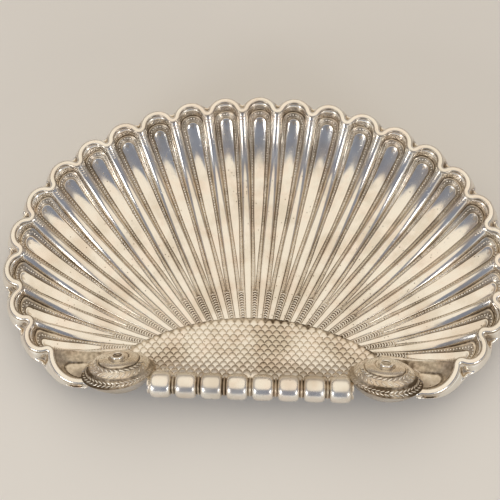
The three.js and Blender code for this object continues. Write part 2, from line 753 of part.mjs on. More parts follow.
// A turned shape about Z from radius and height pairs that start and end on the axis.
function turned(outline) {
  const points = outline.map(([radius, height]) => new THREE.Vector2(radius, height));
  return new THREE.LatheGeometry(points, ROUND_STEPS).rotateX(Math.PI / 2);
}

function placeButton(mesh, side) {
  const seat = domeRise(BUTTON_RADIUS) - VOLUTE_GROOVE_DEPTH + SEAT_GAP;
  mesh.applyMatrix4(voluteFrame(side).multiply(new THREE.Matrix4().makeTranslation(0, 0, seat)));
}

// Feet. The plate's flat lower face lies just under the lowest flute above it.
function plateBottom(x, y) {
  const near = FOOT_PLATE_RADIUS + lobeSpacing / 4;
  const above = sheetUnder.filter((point) => Math.hypot(point.x - x, point.y - y) < near);
  return Math.min(...above.map((point) => point.z)) - SEAT_GAP - FOOT_PLATE_THICKNESS;
}

function footPlate(x, y) {
  const bottom = plateBottom(x, y);
  const height = FLOOR_HEIGHT + RIM_RISE - bottom;
  const disc = turned([
    [0, 0],
    [FOOT_PLATE_RADIUS - FOOT_PLATE_THICKNESS / 2, 0],
    [FOOT_PLATE_RADIUS, FOOT_PLATE_THICKNESS / 2],
    [FOOT_PLATE_RADIUS, height],
    [0, height],
  ]).translate(x, y, bottom);
  return cutAway(solidOfGeometry(disc), [aboveUnderside()]);
}

function footBall(x, y) {
  const top = plateBottom(x, y) - SEAT_GAP;
  const centre = Math.sqrt(FOOT_BALL_RADIUS ** 2 - FOOT_FLAT_RADIUS ** 2);
  const outline = [[0, TABLE]];
  const from = Math.asin(FOOT_FLAT_RADIUS / FOOT_BALL_RADIUS);
  const to = Math.PI - Math.asin(FOOT_NECK_RADIUS / FOOT_BALL_RADIUS);
  for (let step = 0; step <= ROUND_STEPS / 2; step++) {
    const angle = lerp(from, to, step / (ROUND_STEPS / 2));
    outline.push([FOOT_BALL_RADIUS * Math.sin(angle), centre - FOOT_BALL_RADIUS * Math.cos(angle)]);
  }
  outline.push([FOOT_NECK_RADIUS, top], [0, top]);
  return turned(outline).translate(x, y, 0);
}

const POLISHED = { color: 0xd9d3c6, roughness: 0.2, metalness: 1 };
const CHASED = { color: 0xcfc7b6, roughness: 0.3, metalness: 1 };

function addMesh(group, name, geometry, finish) {
  const mesh = new THREE.Mesh(geometry, new THREE.MeshStandardMaterial(finish));
  mesh.name = name;
  group.add(mesh);
  return mesh;
}

const dish = new THREE.Group();
const bowl = new THREE.Group();
const feet = new THREE.Group();
dish.add(bowl, feet);

addMesh(bowl, 'shell_bowl', geometryOf(sheet.solidBetween(sheet.points, sheetUnder)), CHASED);
addMesh(bowl, 'rim_border', geometryOf(cutAway(loft(rimSections), [grownSheet()])), POLISHED);
addMesh(bowl, 'gadroon_border', geometryOf(gadroonBorder()), POLISHED);

for (const [sideName, side] of [['left', -1], ['right', 1]]) {
  addMesh(bowl, `volute_${sideName}`, geometryOf(volute(side)), CHASED);
  placeButton(addMesh(bowl, `volute_button_${sideName}`, buttonGeometry(), POLISHED), side);
}

const footPlaces = [
  ['left', -FRONT_FOOT_X, FRONT_FOOT_Y],
  ['right', FRONT_FOOT_X, FRONT_FOOT_Y],
  ['back', 0, BACK_FOOT_Y],
];
for (const [footName, x, y] of footPlaces) {
  addMesh(feet, `foot_plate_${footName}`, geometryOf(footPlate(x, y)), POLISHED);
  addMesh(feet, `foot_ball_${footName}`, footBall(x, y), POLISHED);
}

const box = new THREE.Box3().setFromObject(dish, true);
const middle = box.getCenter(new THREE.Vector3());
dish.position.set(-middle.x, -middle.y, -box.min.z);

export default dish;
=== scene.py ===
"""Silver shell dish: a raised and chased scallop with a lobed lip, gadroons, volutes and ball feet.

Sizes are in millimetres about the centre of the rim's ellipse, with the table at zero, as a maker
would draw them. to_frame turns finished points into metres and moves them into the loaded frame.
"""

import logging
import math
from dataclasses import dataclass, field
from enum import Enum
from functools import cached_property
from typing import Callable, NamedTuple, Optional, Sequence

import bpy
import numpy as np
from mathutils import Matrix, Vector
from mathutils.bvhtree import BVHTree


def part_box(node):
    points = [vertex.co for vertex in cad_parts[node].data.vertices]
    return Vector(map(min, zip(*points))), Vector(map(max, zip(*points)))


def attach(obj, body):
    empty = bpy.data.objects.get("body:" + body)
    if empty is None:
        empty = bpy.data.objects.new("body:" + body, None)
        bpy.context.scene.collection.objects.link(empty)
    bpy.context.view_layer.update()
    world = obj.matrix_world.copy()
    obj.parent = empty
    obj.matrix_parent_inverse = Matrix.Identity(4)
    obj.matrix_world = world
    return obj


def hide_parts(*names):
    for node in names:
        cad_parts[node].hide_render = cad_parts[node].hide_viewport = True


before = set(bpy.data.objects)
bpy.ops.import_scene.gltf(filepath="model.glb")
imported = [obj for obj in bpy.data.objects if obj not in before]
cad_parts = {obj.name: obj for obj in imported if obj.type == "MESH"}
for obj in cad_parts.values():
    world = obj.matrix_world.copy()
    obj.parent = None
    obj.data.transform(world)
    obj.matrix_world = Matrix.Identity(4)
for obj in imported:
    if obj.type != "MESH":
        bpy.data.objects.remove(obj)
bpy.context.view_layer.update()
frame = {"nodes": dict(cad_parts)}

LOG = logging.getLogger("shell_dish")
MM = 0.001
BODY = "root"
HOLLOW = "hollow"
WELD = 0.004
HAMMER_SEED = 7
Array = np.ndarray
Colour = tuple[float, float, float]
Inputs = dict[str, object]


class Side(Enum):
    """The dish's two ends, each with the sign of its X."""

    LEFT = -1
    RIGHT = 1

    @property
    def label(self) -> str:
        """The side's word in node names."""
        return self.name.lower()


class Spots(NamedTuple):
    """Where copies of a small shape go: origins, frames with X across, Y to the tip and Z up, sizes."""

    origin: Array
    frame: Array
    size: Array

    @staticmethod
    def gather(parts: Sequence["Spots"]) -> "Spots":
        """Put the spots of several flutes or ridges into one."""
        return Spots(*(np.concatenate(part) for part in zip(*parts)))


def lerp(low: Array, high: Array, share: Array) -> Array:
    """Blend from low at a share of 0 to high at a share of 1."""
    return low + (high - low) * share


def bump(value: Array, centre: float, width: float) -> Array:
    """A smooth hump of height 1 about a centre."""
    return np.exp(-(((value - centre) / width) ** 2))


def smooth_step(value: Array, low: float, high: float) -> Array:
    """Rise smoothly from 0 at low to 1 at high."""
    share = np.clip((value - low) / (high - low), 0, 1)
    return share * share * (3 - 2 * share)


def unit(vectors: Array) -> Array:
    """Scale vectors to length 1."""
    return vectors / np.maximum(np.linalg.norm(vectors, axis=-1, keepdims=True), 1e-12)


def frames_of(across: Array, tip: Array) -> Array:
    """Build frames whose Z is square to both directions and whose Y is the tip's.

    Args:
        across: Directions of X, roughly.
        tip: Directions of Y.

    Returns:
        Square frames, with the axes as columns.
    """
    y_axis = unit(tip)
    z_axis = unit(np.cross(across, y_axis))
    x_axis = np.cross(y_axis, z_axis)
    return np.stack([x_axis, y_axis, z_axis], axis=-1)


# Modelling with Blender's operators


def clear_selection() -> None:
    """Deselect every object, the loaded nodes included."""
    bpy.ops.object.select_all(action="DESELECT")


def pick(piece: bpy.types.Object) -> None:
    """Make a piece the only selected object."""
    clear_selection()
    piece.select_set(True)
    bpy.context.view_layer.objects.active = piece


def edit(piece: bpy.types.Object, *steps: Callable[[], object]) -> None:
    """Run edit-mode steps on a piece, with all of it selected at the start."""
    pick(piece)
    bpy.ops.object.mode_set(mode="EDIT")
    bpy.ops.mesh.select_all(action="SELECT")
    for step in steps:
        step()
    bpy.ops.object.mode_set(mode="OBJECT")


def select_faces(piece: bpy.types.Object, wanted: Callable[[bpy.types.MeshPolygon], bool]) -> None:
    """Select a piece's faces, ready for edit mode.

    Args:
        piece: The piece, in object mode.
        wanted: The test of each face.
    """
    mesh = piece.data
    mesh.vertices.foreach_set("select", np.zeros(len(mesh.vertices), dtype=bool))
    mesh.edges.foreach_set("select", np.zeros(len(mesh.edges), dtype=bool))
    mesh.polygons.foreach_set("select", np.array([wanted(face) for face in mesh.polygons]))


def edit_faces(
    piece: bpy.types.Object,
    wanted: Callable[[bpy.types.MeshPolygon], bool],
    *steps: Callable[[], object],
) -> None:
    """Run edit-mode steps on the faces that pass a test.

    Args:
        piece: The piece to shape.
        wanted: The test of each face.
        steps: Operators to run in turn.
    """
    pick(piece)
    bpy.ops.object.mode_set(mode="EDIT")
    bpy.ops.mesh.select_mode(type="FACE")
    bpy.ops.mesh.select_all(action="DESELECT")
    bpy.ops.object.mode_set(mode="OBJECT")
    select_faces(piece, wanted)
    bpy.ops.object.mode_set(mode="EDIT")
    for step in steps:
        step()
    bpy.ops.object.mode_set(mode="OBJECT")


def named(piece: bpy.types.Object, name: str) -> bpy.types.Object:
    """Name a piece and its mesh."""
    piece.name = piece.data.name = name
    return piece


def write_hollow(mesh: bpy.types.Mesh, hollow: Array) -> None:
    """Store how far each vertex lies in a hollow, from 0 to 1, which the materials paint darker: painted
    shade and tarnish.
    """
    layer = mesh.attributes.get(HOLLOW) or mesh.attributes.new(HOLLOW, "FLOAT", "POINT")
    layer.data.foreach_set("value", np.clip(hollow, 0, 1).astype(np.float32).ravel())


def read_points(mesh: bpy.types.Mesh) -> Array:
    """Return a mesh's vertices as rows of X, Y and Z."""
    points = np.empty(len(mesh.vertices) * 3)
    mesh.vertices.foreach_get("co", points)
    return points.reshape(-1, 3)


def write_points(mesh: bpy.types.Mesh, points: Array) -> None:
    """Move a mesh's vertices to rows of X, Y and Z."""
    mesh.vertices.foreach_set("co", points.ravel())


def lay_grid(name: str, net: Array, hollow: Array) -> bpy.types.Object:
    """Add a grid and lay its vertices on a net of points.

    Args:
        name: The piece's name.
        net: Rows of points in the drawing's millimetres. Columns cross rows give the outer side.
        hollow: How far each point lies in a hollow.

    Returns:
        The new piece, whose points that lie within the weld's distance are one.
    """
    rows, columns = net.shape[:2]
    clear_selection()
    bpy.ops.mesh.primitive_grid_add(x_subdivisions=columns - 1, y_subdivisions=rows - 1, size=1)
    piece = named(bpy.context.object, name)
    write_points(piece.data, to_frame(net))
    write_hollow(piece.data, np.broadcast_to(hollow, (rows, columns)))
    edit(piece, lambda: bpy.ops.mesh.remove_doubles(threshold=WELD * MM))
    return piece


def join(pieces: Sequence[bpy.types.Object], name: str) -> bpy.types.Object:
    """Join pieces into the first of them.

    Args:
        pieces: The pieces to join.
        name: The result's name.

    Returns:
        The joined piece.
    """
    pick(pieces[0])
    for piece in pieces[1:]:
        piece.select_set(True)
    bpy.ops.object.join()
    return named(pieces[0], name)


def apply_modifier(piece: bpy.types.Object, kind: str, **values: object) -> None:
    """Add a modifier and apply it.

    Args:
        piece: The piece to change.
        kind: The modifier's type.
        values: The modifier's settings.
    """
    pick(piece)
    modifier = piece.modifiers.new(kind.title(), kind)
    for key, value in values.items():
        setattr(modifier, key, value)
    bpy.ops.object.modifier_apply(modifier=modifier.name)


def smooth(piece: bpy.types.Object, angle_deg: float = 60.0) -> None:
    """Shade a piece smooth, apart from edges sharper than an angle."""
    pick(piece)
    bpy.ops.object.shade_smooth_by_angle(angle=math.radians(angle_deg))


def half_ball(segments: int, rings: int) -> bpy.types.Object:
    """Model a half ball of radius 1 that stands on its rim.

    Args:
        segments: The number of its meridians.
        rings: The number of rings of the whole ball.

    Returns:
        The half ball, open below where it lies on the sheet.
    """
    clear_selection()
    bpy.ops.mesh.primitive_uv_sphere_add(segments=segments, ring_count=rings, radius=1)
    ball = bpy.context.object
    edit(
        ball,
        lambda: bpy.ops.mesh.bisect(plane_co=(0, 0, 1e-3), plane_no=(0, 0, 1), clear_inner=True),
    )
    return ball


def copy_over(name: str, master: bpy.types.Object, spots: Spots) -> bpy.types.Object:
    """Copy a small shape to many spots as one piece, and delete the original.

    Args:
        name: The piece's name.
        master: The shape, modelled about the origin. Its hollow values go with it.
        spots: Where the copies go, in the drawing's millimetres.

    Returns:
        The piece that holds all the copies.
    """
    mesh = master.data
    shape = read_points(mesh)
    hollow = np.zeros(len(shape), dtype=np.float32)
    if mesh.attributes.get(HOLLOW):
        mesh.attributes[HOLLOW].data.foreach_get("value", hollow)
    starts = np.array([face.loop_start for face in mesh.polygons])
    corners = np.array([loop.vertex_index for loop in mesh.loops])
    count = len(spots.origin)
    sized = shape[None, :, :] * spots.size[:, None, :]
    points = spots.origin[:, None, :] + np.einsum("nij,nvj->nvi", spots.frame, sized)
    copies = bpy.data.meshes.new(name)
    copies.vertices.add(count * len(shape))
    write_points(copies, to_frame(points))
    copies.loops.add(count * len(corners))
    shift = np.arange(count)[:, None]
    copies.loops.foreach_set("vertex_index", (corners + shift * len(shape)).ravel())
    copies.polygons.add(count * len(starts))
    copies.polygons.foreach_set("loop_start", (starts + shift * len(corners)).ravel())
    copies.update(calc_edges=True)
    write_hollow(copies, np.tile(hollow, count))
    piece = bpy.data.objects.new(name, copies)
    bpy.context.scene.collection.objects.link(piece)
    bpy.data.objects.remove(master)
    smooth(piece)
    return piece


# The frame


def frame_shift() -> Array:
    """Find how far the drawing moves to meet the frame, from the left foot."""
    low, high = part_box("foot_ball_left")
    middle = (low[1] + high[1]) / 2 / MM
    return np.array([0.0, middle - Foot.FRONT_Y, low[2] / MM])


def to_frame(points: Array) -> Array:
    """Turn points of the drawing in millimetres into points of the frame in metres."""
    return (points + frame_shift()) * MM


class SheetProbe:
    """Finds the solid sheet above or below a point of the drawing."""

    START_ABOVE = 8

    def __init__(self) -> None:
        """Copy the sheet's node into a search tree in the drawing's millimetres."""
        node = frame["nodes"]["shell_bowl"]
        mesh = node.data
        place = np.array(node.matrix_world)
        world = read_points(mesh) @ place[:3, :3].T + place[:3, 3]
        points = world / MM - frame_shift()
        faces = [tuple(face.vertices) for face in mesh.polygons]
        self.tree = BVHTree.FromPolygons([Vector(point) for point in points], faces)

    def height(self, point: Sequence[float], upwards: bool) -> Optional[float]:
        """Return the sheet's height straight above or below a point, or None where there is none."""
        hit = self.tree.ray_cast(Vector(point), Vector((0, 0, 1 if upwards else -1)))[0]
        return None if hit is None else hit.z

    def below(self, point: Sequence[float]) -> Optional[float]:
        """Return the sheet's height under a point, found from a little above it."""
        x, y, z = point
        return self.height((x, y, z + self.START_ABOVE), upwards=False)


# The sheet's form


class Station(NamedTuple):
    """What the sheet and the border share at places along the rim."""

    share: Array
    half_chord: Array
    bulge: Array
    base: Array
    normal: Array
    outward: Array
    edge: Array
    beyond: Array


@dataclass(frozen=True)
class ShellForm:
    """The sheet's driving sizes and the surface that follows from them.

    A place counts flutes along the rim, from 0 at the left end to the flute count at the right.
    """

    rim_half_width: float = 183.0
    rim_half_depth: float = 124.0
    flutes: int = 25
    end_spacing: float = 37.0
    rim_end_x: float = 123.0
    bulge: float = 9.5
    end_bulge: float = 6.5
    notch_radius: float = 3.0
    bead_width: float = 2.8
    floor: float = 19.0
    rim_rise: float = 50.0
    rim_fall: float = 0.2
    gentle_rise: float = 0.3
    front_rise: float = 16.5
    front_climb: float = 2.2
    front_cut: float = 37.0
    front_half_width: float = 75.0
    hub_radius: float = 178.0
    hub_depth: float = 53.6
    hub_spacing: float = 8.5
    ridge_height: float = 0.23
    sheet: float = 1.2
    hammer_waves: int = 14
    wave_lengths: tuple[float, float] = (9.0, 34.0)
    wave_height: float = 0.028
    calm_edge: float = 6.0

    @property
    def middle(self) -> float:
        """The place at the middle of the back."""
        return self.flutes / 2

    @property
    def front_y(self) -> float:
        """The front edge's Y."""
        return self.front_cut - self.rim_half_depth

    @cached_property
    def arc_table(self) -> tuple[Array, Array]:
        """Arc lengths along half of the ellipse, from the back to the front, and their angles."""
        angles = np.linspace(0, np.pi, 721)
        between = (angles[1:] + angles[:-1]) / 2
        speed = np.hypot(self.rim_half_width * np.cos(between), self.rim_half_depth * np.sin(between))
        return np.concatenate([[0], np.cumsum(speed * np.diff(angles))]), angles

    @cached_property
    def spacing(self) -> float:
        """The arc length from notch to notch, which fits the lobes between the volutes."""
        end_angle = math.pi - math.asin(self.rim_end_x / self.rim_half_width)
        arcs, angles = self.arc_table
        end_arc = arcs[round(end_angle / angles[1])]
        return (end_arc - self.end_spacing) / (self.middle - 1)

    def ellipse(self, arc: Array) -> tuple[Array, Array, Array]:
        """Return points, tangents and outward normals at arc lengths from the middle of the back."""
        side = np.where(arc < 0, -1.0, 1.0)
        arcs, angles = self.arc_table
        angle = np.interp(np.abs(arc), arcs, angles)
        width, depth = self.rim_half_width, self.rim_half_depth
        point = np.stack([side * width * np.sin(angle), depth * np.cos(angle)], axis=-1)
        tangent = unit(np.stack([width * np.cos(angle), -side * depth * np.sin(angle)], axis=-1))
        normal = np.stack([-tangent[..., 1], tangent[..., 0]], axis=-1)
        return point, tangent, normal

    def rim_arc(self, place: Array) -> Array:
        """Return the arc length at a place."""
        inner = np.clip(place, 1, self.flutes - 1)
        return (inner - self.middle) * self.spacing + (place - inner) * self.end_spacing

    def lobe(self, share: Array, half_chord: Array, bulge: Array) -> tuple[Array, Array, Array, Array]:
        """Shape one lobe in its chord's frame: an arc between two small notch arcs.

        Args:
            share: From -1 at one notch to 1 at the next.
            half_chord: Half of the distance between the notches.
            bulge: How far the lobe stands out.

        Returns:
            The X and Y of the crest, and the X and Y of its normal.
        """
        radii = (half_chord**2 + bulge**2) / (2 * bulge)
        radius = radii - self.notch_radius
        x = share * half_chord
        rise = np.sqrt(np.maximum(radius**2 - x**2, 0))
        left = np.sign(x) * (half_chord - np.abs(x))
        fall = np.sqrt(np.maximum(self.notch_radius**2 - left**2, 0))
        on_lobe = np.abs(x) <= radius * half_chord / radii
        y = np.where(on_lobe, bulge - radius + rise, self.notch_radius - fall)
        normal_x = np.where(on_lobe, x / radius, left / self.notch_radius)
        normal_y = np.where(on_lobe, rise / radius, fall / self.notch_radius)
        return x, y, normal_x, normal_y

    def rim_height(self, y: Array) -> Array:
        """Return the height of the rim's valleys at a depth."""
        return self.floor + self.rim_rise - self.rim_fall * (self.rim_half_depth - y)

    def half_chord(self, flute: Array) -> Array:
        """Return half of the rim's arc over one flute."""
        return (self.rim_arc(flute + 1) - self.rim_arc(flute)) / 2

    def station(self, place: Array) -> Station:
        """Work out the rim at places along it."""
        place = np.asarray(place, dtype=float)
        flute = np.clip(np.floor(place), 0, self.flutes - 1)
        share = 2 * (place - flute) - 1
        half_chord = self.half_chord(flute)
        is_end = (flute == 0) | (flute == self.flutes - 1)
        bulge = np.where(is_end, self.end_bulge, self.bulge)
        x, y, normal_x, normal_y = self.lobe(share, half_chord, bulge)
        base, tangent, normal = self.ellipse(self.rim_arc(flute) + half_chord + x)
        outward = tangent * normal_x[..., None] + normal * normal_y[..., None]
        edge = base + normal * y[..., None] - outward * self.bead_width
        return Station(
            share, half_chord, bulge, base, normal, outward, edge, y - self.bead_width * normal_y
        )

    def field(self, place: Array, share: Array) -> Array:
        """Shape the hub's field.

        Args:
            place: Places along the rim.
            share: Shares of the way from the hub arc to the front edge.

        Returns:
            Points of the field.
        """
        x = (place - self.middle) * self.hub_spacing
        top = self.front_y + self.hub_depth - self.hub_radius
        arc_y = top + np.sqrt(self.hub_radius**2 - x**2)
        front_x = (place - self.middle) / (self.middle - 1) * self.front_half_width
        height = self.floor + self.front_rise * share**self.front_climb
        return np.stack([lerp(x, front_x, share), lerp(arc_y, self.front_y, share), height], axis=-1)

    def start(self, place: Array) -> Array:
        """Return the inner ends of the flutes."""
        inner = np.clip(place, 1, self.flutes - 1)
        return self.field(inner, np.abs(place - inner))

    def length(self, place: Array) -> Array:
        """Return the plan length of the sheet from the flutes' inner ends to its edge."""
        return np.linalg.norm(self.start(place)[..., :2] - self.station(place).edge, axis=-1)

    def sheet_point(self, place: Array, from_edge: Array, relief: Array) -> Array:
        """Return points of the sheet's upper face.

        Args:
            place: Places along the rim.
            from_edge: Distances in from the sheet's edge.
            relief: Heights of the chasing as shares of half a flute's width.

        Returns:
            Points with a slight unevenness left by the hammer.
        """
        station = self.station(place)
        start = self.start(place)
        share = np.clip(1 - from_edge / self.length(place), 0, 1)
        plan = lerp(start[..., :2], station.edge, share[..., None])
        ends = np.clip(np.minimum(place, self.flutes - place), 0, 1)
        rim_half = np.minimum(station.half_chord, self.spacing / 2)
        half = lerp(self.hub_spacing / 2 * ends, rim_half, share)
        wall = self.gentle_rise * share**2 + (1 - self.gentle_rise) * share**5
        height = lerp(start[..., 2], self.rim_height(station.edge[..., 1]), wall)
        height = height + relief * half
        height = height + self.hammering(plan) * smooth_step(from_edge, 0, self.calm_edge)
        return np.concatenate([plan, height[..., None]], axis=-1)

    def hammering(self, plan: Array) -> Array:
        """Return the small waves that raising by hand leaves in the sheet."""
        waves = np.zeros(plan.shape[:-1])
        chance = np.random.default_rng(HAMMER_SEED)
        longest = self.wave_lengths[1]
        for _ in range(self.hammer_waves):
            angle = chance.uniform(0, np.pi)
            length = chance.uniform(*self.wave_lengths)
            phase = chance.uniform(0, 2 * np.pi)
            along = plan[..., 0] * math.cos(angle) + plan[..., 1] * math.sin(angle)
            waves = waves + np.sin(along * 2 * np.pi / length + phase) * length / longest
        return waves * self.wave_height


FORM = ShellForm()


@dataclass
class FlutedFan:
    """The fluted part of the sheet with its beaded bands, chased panels and spandrels.

    A point of a flute has a share across, from -1 on one ridge to 1 on the next, and a run: 0 at
    the hub, 1 where the arch springs, and 2 at the arch's crown. The shares are those of the drawn
    profile: the panel ends at panel_edge and the ridge starts at ridge_foot at any width. Depths of
    the chased lines are shares of half a flute's width.
    """

    profile: tuple[float, ...] = (
        0, 0.1, 0.19, 0.26, 0.31, 0.34, 0.358, 0.372, 0.385, 0.4, 0.42, 0.45, 0.48, 0.51, 0.54,
        0.56, 0.575, 0.588, 0.6, 0.615, 0.64, 0.67, 0.71, 0.76, 0.81, 0.86, 0.91, 0.96, 1,
    )  # fmt: skip
    straight_rows: int = 66
    arch_rows: int = 22
    panel_edge: float = 0.36
    ridge_foot: float = 0.6
    panel_width: float = 0.34
    groove_width: float = 0.67
    hub_groove_width: float = 0.56
    inner_line: float = 0.385
    inner_line_depth: float = 0.04
    outer_line: float = 0.588
    outer_line_depth: float = 0.05
    end_line_depth: float = 0.03
    outer_shade_line: float = 0.59
    ring_line: float = 0.25
    ring_depth: float = 0.012
    band_height: float = 0.014
    trough_depth: float = 0.016
    arch_setback: float = 4.3
    end_setback: float = 7.5
    arch_flattening: float = 0.88
    column_length: float = 23.0
    flutes_per_piece: int = 5
    bead_share: float = 0.48
    bead_pitch: float = 2.15
    bead_radius: float = 0.88
    bead_height: float = 0.45
    bead_foot: float = 0.3
    first_bead: float = 0.96
    chevron_pitch: float = 2.1
    chevron_margin: float = 0.15
    chevron_half_width: float = 2.6
    chevron_half_length: float = 1.2
    chevron_height: float = 0.42
    last_chevron: float = 0.93
    last_chevron_size: float = 0.8
    crescents: int = 4
    crescent_inset: float = 2.0
    crescent_pitch: float = 1.5
    crescent_half_width: float = 2.3
    crescent_taper: float = 0.35
    crescent_half_length: float = 0.95
    crescent_height: float = 0.26
    pieces: list[bpy.types.Object] = field(default_factory=list)

    def is_end(self, flute: int) -> bool:
        """Tell whether a flute is one of the two beside the volutes."""
        return flute in (0, FORM.flutes - 1)

    def setback(self, flute: int) -> float:
        """Return how far the arch's centre lies inside the notch line."""
        return self.end_setback if self.is_end(flute) else self.arch_setback

    def hub_half(self, flute: int) -> float:
        """Return half of a flute's width at the hub."""
        ends = FORM.start(np.array([flute, flute + 1.0]))
        return float(np.linalg.norm(ends[1] - ends[0])) / 2

    def spread(self, size: Array, panel: Array, groove: Array) -> Array:
        """Turn the profile's shares into shares of the true width.

        Args:
            size: Shares of the profile, from 0 to 1.
            panel: Where the panel ends, as a share of half the width.
            groove: Where the ridge starts, as a share of half the width.

        Returns:
            Shares of half the width.
        """
        on_panel = size / self.panel_edge * panel
        band = (size - self.panel_edge) / (self.ridge_foot - self.panel_edge)
        ridge = (size - self.ridge_foot) / (1 - self.ridge_foot)
        outer = np.where(size < self.ridge_foot, lerp(panel, groove, band), lerp(groove, 1, ridge))
        return np.where(size < self.panel_edge, on_panel, outer)

    def settle(
        self, flute: int, width: Array, depth: Callable[[Array, Array], Array]
    ) -> tuple[Array, Array]:
        """Find the places at given shares of the true width, since the bead's inset narrows lobes.

        Args:
            flute: The flute's number.
            width: Shares of half the width, from 0 to 1.
            depth: Returns the distance in from the edge, given how far the edge lies beyond the
                notches and the sheet's length there.

        Returns:
            The shares of half the flute's count, and the distances in from the edge.
        """
        half, hub_half = float(FORM.half_chord(flute)), self.hub_half(flute)
        bulge = FORM.end_bulge if self.is_end(flute) else FORM.bulge
        count = np.array(width, dtype=float)
        inside = np.zeros_like(count)
        for _ in range(24):
            place = flute + 0.5 + np.clip(count, 0, 1) / 2
            lean = FORM.lobe(np.clip(count, 0, 1), half, bulge)[2]
            length = FORM.length(place)
            inside = depth(FORM.station(place).beyond, length)
            along = np.clip(1 - inside / length, 0, 1)
            wanted = width + along * FORM.bead_width * lean / lerp(hub_half, half, along)
            count = lerp(count, np.where(width >= 1, 1, wanted), 0.5)
        return np.clip(count, 0, 1), inside

    @cached_property
    def reaches(self) -> dict[bool, Array]:
        """Distances from an arch's centre to the sheet's edge or the ridge, over a right angle.

        They are kept for the middle flutes and for the two at the ends.
        """
        angle = np.linspace(0, np.pi / 2, 181)
        found = {}
        for flute in (0, FORM.flutes // 2):
            half = float(FORM.half_chord(flute))
            ridge = half / np.maximum(np.cos(angle), 0.05)
            low = np.full(angle.shape, 1.0)
            high = ridge.copy()
            for _ in range(24):
                tried = (low + high) / 2
                width = np.clip(tried * np.cos(angle) / half, 0, 1)
                past = tried * np.sin(angle) * self.arch_flattening - self.setback(flute)
                inside = self.settle(flute, width, lambda beyond, _: beyond - past)[1] > 0
                low = np.where(inside, tried, low)
                high = np.where(inside, high, tried)
            found[self.is_end(flute)] = np.minimum(low, ridge)
        return found

    def arch_angles(self, flute: int) -> Array:
        """Return the arch's angles, with one where the ridge meets the rim."""
        corner = (self.setback(flute) - FORM.bead_width) / self.arch_flattening
        notch = max(math.atan2(corner, float(FORM.half_chord(flute))), 0.02)
        return np.concatenate([[notch / 2], np.linspace(notch, np.pi / 2, self.arch_rows)])

    def chart(self, flute: int, across: Array, run: Array) -> tuple[Array, Array]:
        """Turn a flute's own coordinates into places and distances in from the edge.

        Args:
            flute: The flute's number.
            across: Shares of the profile from ridge to ridge.
            run: Runs from the hub to the arch's crown.

        Returns:
            The places along the rim, and the distances in from its edge.
        """
        across, run = np.broadcast_arrays(np.asarray(across, float), np.asarray(run, float))
        size = np.abs(across)
        half = float(FORM.half_chord(flute))
        radius = FORM.spacing / 2
        along = np.clip(run, 0, 1)
        angle = np.clip(run - 1, 0, 1) * np.pi / 2
        panel = np.maximum(self.panel_width * smooth_step(along, 0.1, 0.62), 0.015)
        groove = lerp(self.hub_groove_width, self.groove_width, along**2)
        narrow = lerp(1.0, radius / half, along)
        straight = self.spread(size, panel * narrow, groove * narrow)
        table = self.reaches[self.is_end(flute)]
        reach = np.interp(angle, np.linspace(0, np.pi / 2, len(table)), table)
        arched = reach * self.spread(
            size, self.panel_width * radius / reach, self.groove_width * radius / reach
        )
        width = np.where(run <= 1, straight, arched * np.cos(angle) / half)
        past = np.where(run <= 1, 0, arched * np.sin(angle) * self.arch_flattening)

        def depth(beyond: Array, length: Array) -> Array:
            """Return the distances in from the edge."""
            springing = beyond + self.setback(flute)
            return np.where(run <= 1, lerp(length, springing, along), springing - past)

        count = self.settle(flute, np.clip(width, 0, 1), depth)[0]
        place = flute + 0.5 + np.sign(across) * count / 2
        return place, np.maximum(depth(FORM.station(place).beyond, FORM.length(place)), 0)

    def opened(self, flute: int, run: Array) -> Array:
        """Return 0 in a flute's column of chevrons and 1 where its panel and bands are open."""
        end = self.column_end(flute)
        return smooth_step(run, end * 0.9, end * 1.1)

    def relief(self, flute: int, across: Array, run: Array) -> Array:
        """Shape the chasing.

        Args:
            flute: The flute's number.
            across: Shares across.
            run: Runs from the hub to the arch's crown.

        Returns:
            Its height as a share of half a flute's width.
        """
        across, run = np.broadcast_arrays(np.asarray(across, float), np.asarray(run, float))
        size = np.abs(across)
        climb = np.clip((size - self.ridge_foot) / (1 - self.ridge_foot), 0, 1)
        arched = smooth_step(run, 1.15, 1.5)
        risen = smooth_step(run, 0.4, 0.95)
        ridge = 0.1 * smooth_step(size, 0.4, 0.58) + 0.9 * (1 - (1 - climb) ** lerp(1.7, 2.3, risen))
        ridge = ridge * lerp(0.55, 1.0, risen)
        roll = arched * (0.1 * bump(climb, 0.45, 0.22) - 0.14 * bump(climb, 0.9, 0.07))
        outer_groove = bump(size, self.outer_line, 0.02)
        if self.is_end(flute):
            side = np.where(across < 0, 1, -1) * (1 if flute == 0 else -1)
            openness = 0.5 + 0.5 * side * (1 - smooth_step(run, 1.0, 2.0))
            crest = smooth_step(size, 0.86, 1.0) * smooth_step(run, 1.1, 1.3)
            chased = FORM.ridge_height * lerp(ridge + roll, crest, openness)
            return chased - self.end_line_depth * outer_groove
        opened = self.opened(flute, run)
        grooves = self.inner_line_depth * opened * bump(size, self.inner_line, 0.018)
        grooves = grooves + self.outer_line_depth * outer_groove
        on_band = smooth_step(size, 0.4, 0.43) * (1 - smooth_step(size, 0.54, 0.56))
        band = self.band_height * opened * on_band
        rings = self.ring_depth * bump(size, self.ring_line, 0.02) * smooth_step(run, 1.0, 1.2)
        trough = self.trough_depth * opened * (1 - np.clip(size / self.panel_edge, 0, 1) ** 2)
        return FORM.ridge_height * (ridge + roll) - grooves + band - rings - trough

